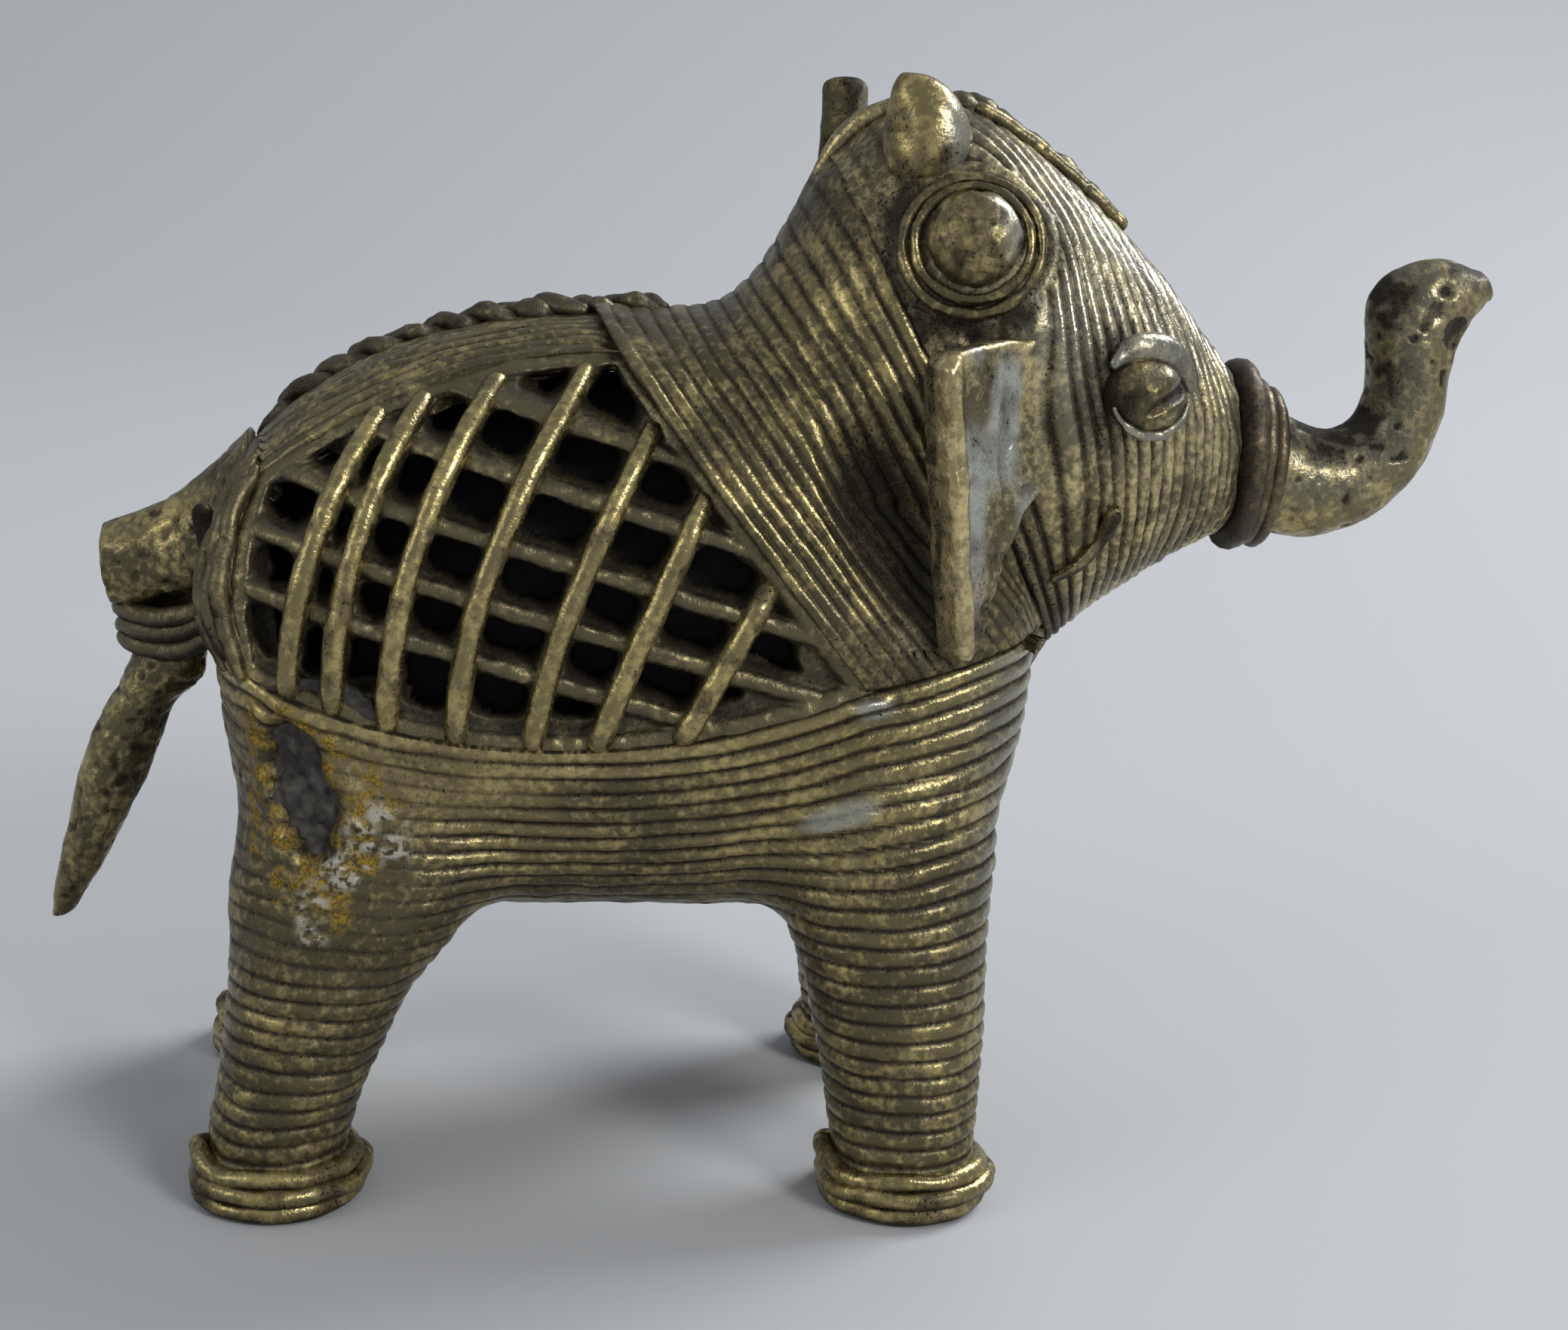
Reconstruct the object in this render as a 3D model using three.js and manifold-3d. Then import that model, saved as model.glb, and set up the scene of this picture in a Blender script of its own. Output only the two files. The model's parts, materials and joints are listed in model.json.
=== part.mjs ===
// A lost-wax brass elephant with openwork flanks, as the wax pieces that its founder lays over clay cores.
// Millimetres. +X is towards the trunk, +Y to the elephant's left, +Z up from the floor.
// The origin is on the floor, under the middle of the figure.
import * as THREE from "three";
import { mergeVertices } from "three/addons/utils/BufferGeometryUtils.js";
import Module from "manifold-3d";

const wasm = await Module();
wasm.setup();

// Fits and walls
const gap = 0.3; // between neighbouring pieces
const torsoWall = 2.4;
const coreShrink = 2.5; // the body's clay core stands this far in from its metal
const legWall = 1.8;
const headWall = 2.2;
const soleThickness = 2.2;

// Torso, an egg whose sections are superellipses
const torso = {
  middleX: -12,
  axisZ: 47,
  halfLength: 34,
  halfWidth: 21,
  rise: 24,
  drop: 24.9,
  planPower: 4.4,
  backPower: 2.2,
  bellyPower: 3.2,
  sectionPower: 2.3,
  bellySectionPower: 2.8,
};
const rearX = torso.middleX - torso.halfLength;
const frontX = torso.middleX + torso.halfLength;
const topZ = torso.axisZ + torso.rise;
const bellyZ = torso.axisZ - torso.drop;

// Openwork windows in the flanks
const windowSize = { rear: 5.4, sill: 2.9, sillSag: 4.9, rearHeight: 14.6, topBulge: 2.6 };
const chestTopZ = torso.axisZ - windowSize.sill;
const neckLean = THREE.MathUtils.degToRad(52); // the neck's threads against the floor
const rim = { radius: 1.1, depth: 1.1 }; // thread round each window
const bar = { radius: 0.95, depth: 0.35 }; // outer threads, which climb and lean forwards
const crossBar = { radius: 0.8, depth: 2.5, slope: -0.27 }; // inner threads, which fall towards the trunk

// Threads wound round the legs, neck and head
const threadPitch = 1.56;
const threadRelief = 0.45;

// Legs
const haunchZ = bellyZ + 13.9; // where the legs end inside the torso
const legStance = torso.halfWidth - 5.8; // foot's middle from the middle plane
const rearStagger = 3.4; // the left hind foot stands this much further back
const cuff = { threadRadius: 0.78, rings: 3, lowest: 0.95 };

// Neck and head hang on two points of the neck's front end
const neckRootX = frontX - 36.6;
const poll = { x: frontX - 18.4, z: topZ + 13 };
const throat = { x: neckPlaneX(chestTopZ) + 16.8, z: chestTopZ + 0.5 };
const headHalfWidth = 17.2;

// Boss, ear and eye on each temple
const boss = { u: 0.19, degrees: 27, domeRadius: 3.5, height: 2.6, ringRadius: 0.6, rings: 2 };
const ear = { u: 0.17, degrees: -26, sweep: 37, reach: 12.6, height: 22, thickness: 2.4, bevel: 0.4 };
const eye = { u: 0.53, degrees: 2, length: 9.2, height: 6.6, bulge: 4.2, lid: 0.75 };

// Trunk and tail
const collar = { threadRadius: 0.95, rings: 3 };
const tailLength = 26;
const wrap = { radius: 0.8, spacing: 1.4, threads: 3 };
const braid = { halfWidth: 1.9, height: 1.5, lumps: 13 };
const crest = { halfWidth: 2.2, height: 1.2, lumps: 7, border: 0.7, spread: 4.4 };

// Finishes of old brass and of the fired clay cores
const brass = { color: 0x77693a, roughness: 0.42, metalness: 1 };
const darkBrass = { color: 0x554b30, roughness: 0.55, metalness: 1 };
const brightBrass = { color: 0x9c8748, roughness: 0.32, metalness: 1 };
const silverBrass = { color: 0x8d8a78, roughness: 0.38, metalness: 1 };
const redBrass = { color: 0x6e5436, roughness: 0.45, metalness: 1 };
const clay = { color: 0x2f2c28, roughness: 0.95, metalness: 0 };

const right = -1;
const left = 1;
const far = 40; // past the whole figure on either side

// A closed geometry as a solid. A form laid the other way round has its faces turned.
function solidOf(geometry) {
  geometry.deleteAttribute("normal");
  geometry.deleteAttribute("uv");
  const merged = mergeVertices(geometry, 1e-3);
  const vertProperties = new Float32Array(merged.attributes.position.array);
  const triVerts = new Uint32Array(merged.index.array);
  const made = new wasm.Manifold(new wasm.Mesh({ numProp: 3, vertProperties, triVerts }));
  if (made.volume() > 0) return made;
  for (let i = 0; i < triVerts.length; i += 3) {
    [triVerts[i + 1], triVerts[i + 2]] = [triVerts[i + 2], triVerts[i + 1]];
  }
  return new wasm.Manifold(new wasm.Mesh({ numProp: 3, vertProperties, triVerts }));
}

// A capped bar whose points are placed by put(step, turn, spread).
// The spread is 1 on the skin and 0 in the middle of an end.
function skin(sides, steps, put) {
  const geometry = new THREE.CylinderGeometry(1, 1, steps, sides, steps);
  const at = geometry.attributes.position;
  for (let i = 0; i < at.count; i++) {
    const spread = Math.round(Math.hypot(at.getX(i), at.getZ(i)));
    const step = Math.round(at.getY(i) + steps / 2);
    const turn = Math.round((Math.atan2(at.getX(i), at.getZ(i)) * sides) / (2 * Math.PI));
    const side = (turn + sides) % sides;
    const point = put(step, spread ? side : 0, spread);
    at.setXYZ(i, point.x, point.y, point.z);
  }
  return solidOf(geometry);
}

// A closed ring of tube whose points are placed by put(step, turn), turn going round the tube.
function hoop(sides, steps, put) {
  const geometry = new THREE.TorusGeometry(2, 1, sides, steps);
  const at = geometry.attributes.position;
  for (let i = 0; i < at.count; i++) {
    const turn = Math.floor(i / (steps + 1)) % sides;
    const step = (i % (steps + 1)) % steps;
    const point = put(step, turn);
    at.setXYZ(i, point.x, point.y, point.z);
  }
  return solidOf(geometry);
}

// A cosine or sine drawn out to a superellipse
function bend(value, power) {
  return Math.sign(value) * Math.abs(value) ** (2 / power);
}

function smoothCurve(points) {
  return new THREE.CatmullRomCurve3(points.map(([x, z, y = 0]) => new THREE.Vector3(x, y, z)));
}

// Evenly spaced plain stations of a loft
function plain(count, from = 0, to = 1) {
  return Array.from({ length: count + 1 }, (_, i) => ({ u: from + ((to - from) * i) / count, dip: 0 }));
}

// Stations that rise and dip once for each thread
function threaded(count, from, to) {
  return plain(2 * count, from, to).map((station, i) => ({ u: station.u, dip: i % 2 ? 0 : threadRelief }));
}

// Loft data: each section is x and z of one edge, x and z of the other, half width, distance from the middle.
function loftCurves(sections) {
  const edge = sections.map(([x, z, , , half]) => [x, z, half]);
  const other = sections.map(([, , x, z, , y = 0]) => [x, z, y]);
  return { edge: smoothCurve(edge), other: smoothCurve(other) };
}

// One ring of a loft: its middle, its reach to the edge and its half width, grown by `grow`
function loftRing(curves, u, grow) {
  const a = curves.edge.getPoint(u);
  const b = curves.other.getPoint(u);
  const reach = new THREE.Vector3((a.x - b.x) / 2, 0, (a.z - b.z) / 2);
  const middle = new THREE.Vector3((a.x + b.x) / 2, b.y, (a.z + b.z) / 2);
  reach.setLength(reach.length() + grow);
  return { middle, reach, half: a.y + grow };
}

// A solid through the rings at the stations. lead and trail move its two ends outwards.
function loft(sections, stations, options) {
  const { sides, power, grow = 0, lead = 0, trail = 0, side = left } = options;
  const curves = loftCurves(sections);
  const rings = stations.map(({ u, dip }) => loftRing(curves, u, grow - dip));
  const last = rings.length - 1;
  const push = (ring, from, amount) => {
    const normal = new THREE.Vector3(ring.reach.z, 0, -ring.reach.x).normalize();
    const away = new THREE.Vector3().subVectors(ring.middle, from.middle);
    ring.middle.addScaledVector(normal, amount * Math.sign(normal.dot(away)));
  };
  push(rings[0], rings[1], lead);
  push(rings[last], rings[last - 1], trail);
  return skin(sides, last, (step, turn, spread) => {
    const { middle, reach, half } = rings[step];
    const angle = ((turn + 0.5) * 2 * Math.PI) / sides;
    const point = middle.clone();
    point.addScaledVector(reach, spread * bend(Math.sin(angle), power));
    point.y += spread * half * bend(Math.cos(angle), power);
    point.y *= side;
    return point;
  });
}

// A thread of round section along points, laid square to `up`
function thread(points, radius, { sides = 6, up = new THREE.Vector3(0, 0, 1), swell = () => 1 } = {}) {
  const last = points.length - 1;
  return skin(sides, last, (step, turn, spread) => {
    const ahead = points[Math.min(step + 1, last)];
    const along = new THREE.Vector3().subVectors(ahead, points[Math.max(step - 1, 0)]);
    const across = new THREE.Vector3().crossVectors(along, up).normalize();
    const out = new THREE.Vector3().crossVectors(across, along).normalize();
    const angle = (turn * 2 * Math.PI) / sides;
    const size = spread * radius * swell(step / last);
    return points[step]
      .clone()
      .addScaledVector(across, size * Math.cos(angle))
      .addScaledVector(out, size * Math.sin(angle));
  });
}

// A closed thread round a loop of points
function threadRing(points, radius, { sides = 6, up = new THREE.Vector3(0, 1, 0) } = {}) {
  const count = points.length;
  return hoop(sides, count, (step, turn) => {
    const behind = points[(step + count - 1) % count];
    const along = new THREE.Vector3().subVectors(points[(step + 1) % count], behind);
    const across = new THREE.Vector3().crossVectors(along, up).normalize();
    const out = new THREE.Vector3().crossVectors(across, along).normalize();
    const angle = (turn * 2 * Math.PI) / sides;
    return points[step]
      .clone()
      .addScaledVector(across, radius * Math.cos(angle))
      .addScaledVector(out, radius * Math.sin(angle));
  });
}

// Threads stacked into one ring. put(out, along, angle) places a point of the ring's lobed section.
function threadStack({ threadRadius, rings }, steps, put) {
  const spacing = 1.5 * threadRadius;
  const reach = (i) => (i % 2 ? 0.3 * threadRadius : threadRadius);
  const lobes = plain(2 * rings - 2).map((_, i) => [reach(i), (i * spacing) / 2]);
  const top = (rings - 1) * spacing;
  const section = [
    [0, -threadRadius],
    ...lobes,
    [0, top + threadRadius],
    [-threadRadius, top + 0.4 * threadRadius],
    [-threadRadius, -0.4 * threadRadius],
  ];
  return hoop(section.length, steps, (step, turn) => put(...section[turn], (step * 2 * Math.PI) / steps));
}

function join(solids) {
  return solids.reduce((all, solid) => all.add(solid));
}

// A side-view outline carried across the figure from y0 to y1
function slab(outline, y0, y1) {
  const shape = new THREE.Shape(outline.map(([x, z]) => new THREE.Vector2(x, z)));
  const geometry = new THREE.ExtrudeGeometry(shape, { depth: y1 - y0, bevelEnabled: false });
  geometry.rotateX(Math.PI / 2);
  geometry.translate(0, y1, 0);
  return solidOf(geometry);
}

// Torso

function torsoSpan(x, grow) {
  const s = Math.min(Math.abs(x - torso.middleX) / (torso.halfLength + grow), 0.9995);
  return {
    half: (torso.halfWidth + grow) * (1 - s ** torso.planPower) ** (1 / torso.planPower),
    rise: (torso.rise + grow) * (1 - s ** torso.backPower) ** (1 / torso.backPower),
    drop: (torso.drop + grow) * (1 - s ** torso.bellyPower) ** (1 / torso.bellyPower),
  };
}

// Angles of the torso's facets: fine over the threads of belly and back, coarse over the windows
function torsoAngles(bellyThreads, backThreads) {
  const row = (count, from, to, dips) =>
    plain(count, from, to).slice(0, -1).map(({ u }, i) => ({ angle: u, dip: dips && i % 2 === 0 ? 1 : 0 }));
  const half = [
    ...row(2, -90, -58, false),
    ...row(2 * bellyThreads, -58, -12, true),
    ...row(5, -12, 54, false),
    ...row(2 * backThreads, 54, 84, true),
    { angle: 90, dip: 0 },
  ];
  const mirrored = half.slice(1, -1).reverse();
  return [...half, ...mirrored.map(({ angle, dip }) => ({ angle: 180 - angle, dip }))];
}
const fineAngles = torsoAngles(8, 4);
const coarseAngles = torsoAngles(1, 1);

function torsoForm(grow, { relief = 0, angles = fineAngles, steps = 10 } = {}) {
  return skin(angles.length, steps, (step, turn, spread) => {
    const reach = torso.halfLength + grow;
    const x = torso.middleX - reach * 0.998 * Math.cos((Math.PI * (step + 0.12)) / (steps + 0.24));
    const { angle, dip } = angles[turn];
    const { half, rise, drop } = torsoSpan(x, grow);
    const isEnd = step === 0 || step === steps;
    const size = isEnd ? spread : spread * (1 - (dip * relief) / Math.max(half, 4 * threadRelief));
    const around = THREE.MathUtils.degToRad(angle);
    const isAbove = Math.sin(around) > 0;
    const power = isAbove ? torso.sectionPower : torso.bellySectionPower;
    const height = size * (isAbove ? rise : drop) * bend(Math.sin(around), power);
    return new THREE.Vector3(x, size * half * bend(Math.cos(around), power), torso.axisZ + height);
  });
}

// A point of the torso's flank, at a depth below its surface
function flank(x, z, depth, side) {
  const { half, rise, drop } = torsoSpan(x, -depth);
  const isAbove = z > torso.axisZ;
  const power = isAbove ? torso.sectionPower : torso.bellySectionPower;
  const s = Math.min(Math.abs(z - torso.axisZ) / (isAbove ? rise : drop), 0.995);
  const y = half * (1 - s ** power) ** (1 / power);
  return new THREE.Vector3(x, side * y, z);
}

// The neck's rear plane runs down from the root of the neck at its lean.
function neckPlaneX(z) {
  return neckRootX + (topZ + 1 - z) / Math.tan(neckLean);
}

// The window's outline in side view, moved inwards by `inset`
function windowOutline(inset, steps = 8) {
  const sillZ = chestTopZ;
  const rearLow = new THREE.Vector2(rearX + windowSize.rear, sillZ - 0.3);
  const frontLow = new THREE.Vector2(neckPlaneX(sillZ), sillZ);
  const highZ = topZ - 2.2;
  const frontHigh = new THREE.Vector2(neckPlaneX(highZ), highZ);
  const rearHigh = new THREE.Vector2(rearX + windowSize.rear + 0.6, sillZ + windowSize.rearHeight);
  const arc = (a, b, x, z) => {
    const control = new THREE.Vector2((a.x + b.x) / 2 + 2 * x, (a.y + b.y) / 2 + 2 * z);
    return new THREE.QuadraticBezierCurve(a, control, b).getPoints(steps).slice(0, -1);
  };
  const points = [
    ...arc(rearLow, frontLow, 0, -windowSize.sillSag),
    ...arc(frontLow, frontHigh, 0, 0),
    ...arc(frontHigh, rearHigh, -0.5, windowSize.topBulge),
    ...arc(rearHigh, rearLow, -1, 0),
  ];
  return points.map((point, i) => {
    const before = points[(i + points.length - 1) % points.length];
    const after = points[(i + 1) % points.length];
    const a = new THREE.Vector2().subVectors(point, before).normalize();
    const b = new THREE.Vector2().subVectors(after, point).normalize();
    const inward = new THREE.Vector2(-a.y - b.y, a.x + b.x).normalize();
    const square = Math.max(0.6, inward.dot(new THREE.Vector2(-a.y, a.x)));
    return [point.x + (inward.x * inset) / square, point.y + (inward.y * inset) / square];
  });
}

function isInside([x, z], outline) {
  let inside = false;
  outline.forEach(([x1, z1], i) => {
    const [x2, z2] = outline[(i + 1) % outline.length];
    if (z1 > z !== z2 > z && x < ((x2 - x1) * (z - z1)) / (z2 - z1) + x1) inside = !inside;
  });
  return inside;
}

// The stretch of a side-view line that lies inside an outline, as evenly spaced points
function clip(line, outline, count) {
  const fine = 240;
  const inside = [];
  for (let i = 0; i <= fine; i++) if (isInside(line(i / fine), outline)) inside.push(i / fine);
  const from = inside[0];
  const to = inside[inside.length - 1];
  return plain(count, from, to).map(({ u }) => line(u));
}

const torsoHollow = torsoForm(-torsoWall, { angles: coarseAngles, steps: 8 });
const coreDepth = torsoWall + coreShrink;
const torsoCore = torsoForm(-coreDepth, { angles: coarseAngles, steps: 8 });
const torsoShell = torsoForm(0, { relief: threadRelief }).subtract(torsoHollow);
const windowInnerY = 4; // the cuts start this far from the middle plane
const rightWindow = slab(windowOutline(0), -far, -windowInnerY);
const leftWindow = slab(windowOutline(0), windowInnerY, far);
const openShell = torsoShell.subtract(rightWindow).subtract(leftWindow);

// Side-view regions of the torso's panels: each seam runs on from a corner of the window.
const edgeSteps = 8;
const outline = windowOutline(0, edgeSteps);
const sill = outline.slice(0, edgeSteps + 1);
const [sillRearX, sillRearZ] = sill[0];
const [highRearX, highRearZ] = outline[3 * edgeSteps];
const neckLow = [neckPlaneX(chestTopZ) - gap, chestTopZ];
const overTopZ = topZ + 10; // clear of the back, and below where the two seams would meet
const neckHigh = [neckPlaneX(overTopZ) - gap, overTopZ];
const bellyRegion = [
  [rearX - far, sillRearZ],
  [rearX - far, -far],
  [frontX + far, -far],
  [frontX + far, chestTopZ],
  ...sill.toReversed(),
];
// Steps of the rump panel's edge from the window's rear upper corner
const seam = { into: 2, drop: 2.3, back: 14, up: 16 };
const rumpRegion = [
  [rearX - far, sillRearZ + gap],
  [sillRearX + seam.into, sillRearZ + gap],
  [highRearX + seam.into, highRearZ - seam.drop],
  [highRearX - seam.back, highRearZ + seam.up],
  [rearX - far, highRearZ + seam.up],
];
const backRegion = [
  [highRearX + seam.into + gap, highRearZ - seam.drop],
  neckLow,
  neckHigh,
  [highRearX - seam.back + gap, overTopZ],
  [highRearX - seam.back + gap, highRearZ + seam.up],
];

// Openwork: a rim thread holds the inner threads, and the outer ones lie across them.

// Feet of the outer threads from the torso's rear end, how far each leans forwards, and how late it does so
const outerBars = [
  [9, 12, 2.4],
  [12.4, 10.6, 2.4],
  [16.6, 10.8, 2.2],
  [21.8, 11.9, 1.9],
  [27.7, 13, 1.5],
  [32.5, 13.5, 1.1],
  [38.5, 17, 1],
];
// Heights of the inner threads above the torso's axis, at its middle
const innerBars = [-4, 0.6, 5.4, 10.6, 15.6];

function outerBar([foot, lean, delay], side) {
  const low = chestTopZ - windowSize.sillSag;
  const line = (t) => [rearX + foot + lean * t ** delay, low + (topZ - low) * t];
  const room = windowOutline(2 * gap + 2 * rim.radius);
  const points = clip(line, room, 6).map(([x, z]) => flank(x, z, bar.depth, side));
  return thread(points, bar.radius, { up: new THREE.Vector3(0, side, 0) });
}

function grille(side) {
  const up = new THREE.Vector3(0, side, 0);
  const path = windowOutline(gap + rim.radius, 6).map(([x, z]) => flank(x, z, rim.depth, side));
  const bars = innerBars.map((height) => {
    const middleZ = torso.axisZ + height;
    const line = (t) => {
      const x = rearX + 2 * torso.halfLength * t;
      return [x, middleZ + crossBar.slope * (x - torso.middleX)];
    };
    const room = windowOutline(gap + rim.radius);
    const points = clip(line, room, 5).map(([x, z]) => flank(x, z, crossBar.depth, side));
    return thread(points, crossBar.radius, { sides: 5, up });
  });
  return join([threadRing(path, rim.radius, { up }), ...bars]);
}

// Legs

const legLevels = 6;
function legSections(anchorX, frontEdge, rearEdge, half, inset, stagger) {
  return frontEdge.map((front, i) => {
    const z = (haunchZ * i) / legLevels;
    const back = stagger * (1 - i / legLevels);
    const edge = [anchorX + front - back, z, anchorX + rearEdge[i] - back, z];
    return [...edge, half[i], legStance - inset[i]];
  });
}
function foreleg() {
  const front = [-3.6, -3.4, -3.2, -3, -2.6, -2.1, -2.4];
  const rear = [-14.1, -14.8, -15.8, -17.2, -19.1, -21.4, -21.6];
  const half = [5.2, 5.6, 6.1, 6.8, 7.5, 7.9, 7.3];
  return legSections(frontX, front, rear, half, [0, 0.1, 0.4, 0.9, 1.6, 2.5, 3.2], 0);
}
function hindleg(stagger) {
  const front = [12.8, 13.2, 15.4, 17.8, 21.4, 24.4, 23];
  const rear = [1.8, 2, 3, 3.5, 3.6, 3.6, 4.5];
  const half = [5.3, 5.7, 6.2, 7, 7.8, 8.2, 7.4];
  return legSections(rearX, front, rear, half, [0, 0.1, 0.4, 1, 1.8, 2.8, 3.4], stagger);
}
const legThreadTop = 0.66; // the threads stop where the belly's own threads take over
const legThreads = Math.round((haunchZ * legThreadTop) / threadPitch);
const legs = [
  { name: "right_front", side: right, sections: foreleg() },
  { name: "left_front", side: left, sections: foreleg() },
  { name: "right_rear", side: right, sections: hindleg(0) },
  { name: "left_rear", side: left, sections: hindleg(rearStagger) },
];
// Thick threads round the foot, stacked on each other
function footCuff({ sections, side }) {
  const curves = loftCurves(sections);
  return threadStack(cuff, 12, (out, along, angle) => {
    const z = cuff.lowest + along;
    const { middle, reach, half } = loftRing(curves, z / haunchZ, gap + cuff.threadRadius + out);
    const y = middle.y + half * Math.sin(angle);
    return new THREE.Vector3(middle.x + reach.x * Math.cos(angle), side * y, z);
  });
}

for (const leg of legs) {
  const stations = [...threaded(legThreads, 0, legThreadTop), ...plain(2, legThreadTop + 0.1, 1)];
  const options = { sides: 10, power: 2.1, side: leg.side };
  leg.envelope = loft(leg.sections, plain(8), { ...options, grow: gap, trail: gap });
  leg.outer = loft(leg.sections, stations, options);
  const inside = { ...options, lead: -soleThickness, trail: 1, grow: -legWall };
  leg.hollow = loft(leg.sections, plain(5), inside);
  leg.ring = footCuff(leg);
  const coreOptions = { ...options, lead: -soleThickness - gap, grow: -legWall - gap };
  leg.coreForm = loft(leg.sections, plain(5), coreOptions);
}

// The casting flaw in the right haunch, where the wall is missing and the clay core shows
const flawHole = [
  [-3, 4.6], [-1, 6.1], [1.2, 4.7], [2, 2], [3.4, -0.7],
  [2.6, -4], [0.3, -5.9], [-1.4, -2.9], [-2.8, 0.7],
];
const flawMiddle = { x: rearX + 9.9, z: haunchZ - 1.2 };
const flawSpread = 1.4; // the clay left behind the hole is this much wider
const flawDepth = 8;
function flawSlab(scale, depth) {
  const outline = flawHole.map(([x, z]) => [flawMiddle.x + scale * x, flawMiddle.z + scale * z]);
  return slab(outline, -far, depth - torso.halfWidth);
}
const flaw = flawSlab(1, flawDepth);
const coreSkin = torsoForm(-torsoWall - gap, { angles: coarseAngles, steps: 8 });
const coreInside = torsoForm(gap - coreDepth, { angles: coarseAngles, steps: 8 });
const flawCore = coreSkin.subtract(coreInside).intersect(flawSlab(flawSpread, flawDepth + torsoWall));

// Neck and head

// The neck's underside starts inside the chest, where a level cut takes its lower part away.
const underZ = chestTopZ - 10.6;
const underX = neckPlaneX(underZ);
const neckSections = [
  [neckRootX, topZ + 1, underX, underZ, torso.halfWidth - 0.2],
  [neckRootX + 6, topZ + 0.5, (2 * underX + throat.x) / 3 - 0.3, chestTopZ - 8.3, torso.halfWidth - 1.4],
  [poll.x - 7.2, poll.z - 11.4, (underX + 2 * throat.x) / 3 - 0.7, chestTopZ - 5.6, headHalfWidth + 0.9],
  [poll.x - 3.4, poll.z - 6.8, throat.x - 1.8, chestTopZ - 2.8, headHalfWidth - 0.3],
  [poll.x, poll.z, throat.x, throat.z, headHalfWidth - 0.9],
];
// Offsets of the forehead from the poll and of the jaw from the throat, with the half width there
const headSections = [
  [0, 0, 0, 0, -0.9],
  [4.9, 4, 1.8, 1.6, -0.2],
  [10.9, 4.6, 3.6, 3.2, 0],
  [16.4, 1.8, 5.8, 4.9, -0.8],
  [22.4, -2.8, 8, 6.4, -2.6],
  [27.7, -7.8, 10.4, 7.9, -5],
  [31.4, -12.2, 12.6, 8.9, -7.6],
  [34.6, -15.8, 14.4, 9.7, -10],
].map(([x1, z1, x2, z2, half]) => {
  return [poll.x + x1, poll.z + z1, throat.x + x2, throat.z + z2, headHalfWidth + half];
});

const neckThreads = 11;
const headThreads = 18;
const snoutU = 0.9; // where the hollow ends behind the snout's wall
const round = { sides: 14, power: 2.3 };
const headEnvelope = loft(headSections, plain(16), { ...round, grow: gap });
const headOuter = loft(headSections, threaded(headThreads, 0, 1), round);
const headInside = plain(8, 0, snoutU);
const headHollow = loft(headSections, headInside, { ...round, grow: -headWall, lead: gap });
const headCore = loft(headSections, headInside, { ...round, grow: -headWall - gap, lead: -gap, trail: -gap });
const neckEnvelope = loft(neckSections, plain(8), { ...round, grow: gap });
const neckWound = loft(neckSections, threaded(neckThreads, 0, 1), { ...round, lead: 1, trail: 1 });
const neckHollow = loft(neckSections, plain(5), { ...round, grow: -torsoWall, lead: 3, trail: 3 });
const neckCore = loft(neckSections, plain(5), { ...round, grow: -coreDepth, lead: 3, trail: -gap });
// The neck stands on the shoulders, which are the torso's own form in front of the windows.
const neckOuter = neckWound.add(torsoForm(0, { angles: coarseAngles }));
const shoulderEnvelope = torsoForm(gap, { angles: coarseAngles });
const chestCut = chestTopZ + gap;
const headPlaneX = (z) => throat.x + ((poll.x - throat.x) * (z - throat.z)) / (poll.z - throat.z) - gap;
const neckRegion = [
  [neckPlaneX(chestCut), chestCut],
  [headPlaneX(chestCut), chestCut],
  [headPlaneX(topZ + far), topZ + far],
  [neckPlaneX(topZ + far), topZ + far],
];
const beyond = ([x, z]) => [x + 2 * far, z];
const neckAndBeyond = slab([neckLow, beyond(neckLow), beyond(neckHigh), neckHigh], -far, far);

// A point on the head at u along it and at an angle round it, 0 on the flank and 90 on the forehead
function headPoint(u, degrees, lift, side) {
  const { middle, reach, half } = loftRing(loftCurves(headSections), u, lift);
  const angle = THREE.MathUtils.degToRad(degrees);
  middle.addScaledVector(reach, bend(Math.sin(angle), round.power));
  middle.y = side * half * bend(Math.cos(angle), round.power);
  return middle;
}

// A frame on the head's skin: x forwards along it, y out of it, z up over it
function headFrame(u, degrees, side) {
  const at = headPoint(u, degrees, 0, side);
  const step = 0.03;
  const turn = 5;
  const ahead = headPoint(u + step, degrees, 0, side).sub(headPoint(u - step, degrees, 0, side)).normalize();
  const over = headPoint(u, degrees + turn, 0, side).sub(headPoint(u, degrees - turn, 0, side)).normalize();
  const out = new THREE.Vector3().crossVectors(ahead, over).normalize().multiplyScalar(-side);
  const up = new THREE.Vector3().crossVectors(ahead, out).multiplyScalar(side);
  return new THREE.Matrix4().makeBasis(ahead, out, up).setPosition(at);
}

function bossDome(frame) {
  const profile = [[0, -2.5], [boss.domeRadius, -2.5], [boss.domeRadius, 0.6]];
  for (let i = 1; i < 5; i++) {
    const angle = (i * Math.PI) / 10;
    profile.push([boss.domeRadius * Math.cos(angle), 0.6 + (boss.height - 0.6) * Math.sin(angle)]);
  }
  profile.push([0, boss.height]);
  const geometry = new THREE.LatheGeometry(profile.map(([x, y]) => new THREE.Vector2(x, y)), 10);
  return solidOf(geometry.applyMatrix4(frame)).subtract(headEnvelope);
}

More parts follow.
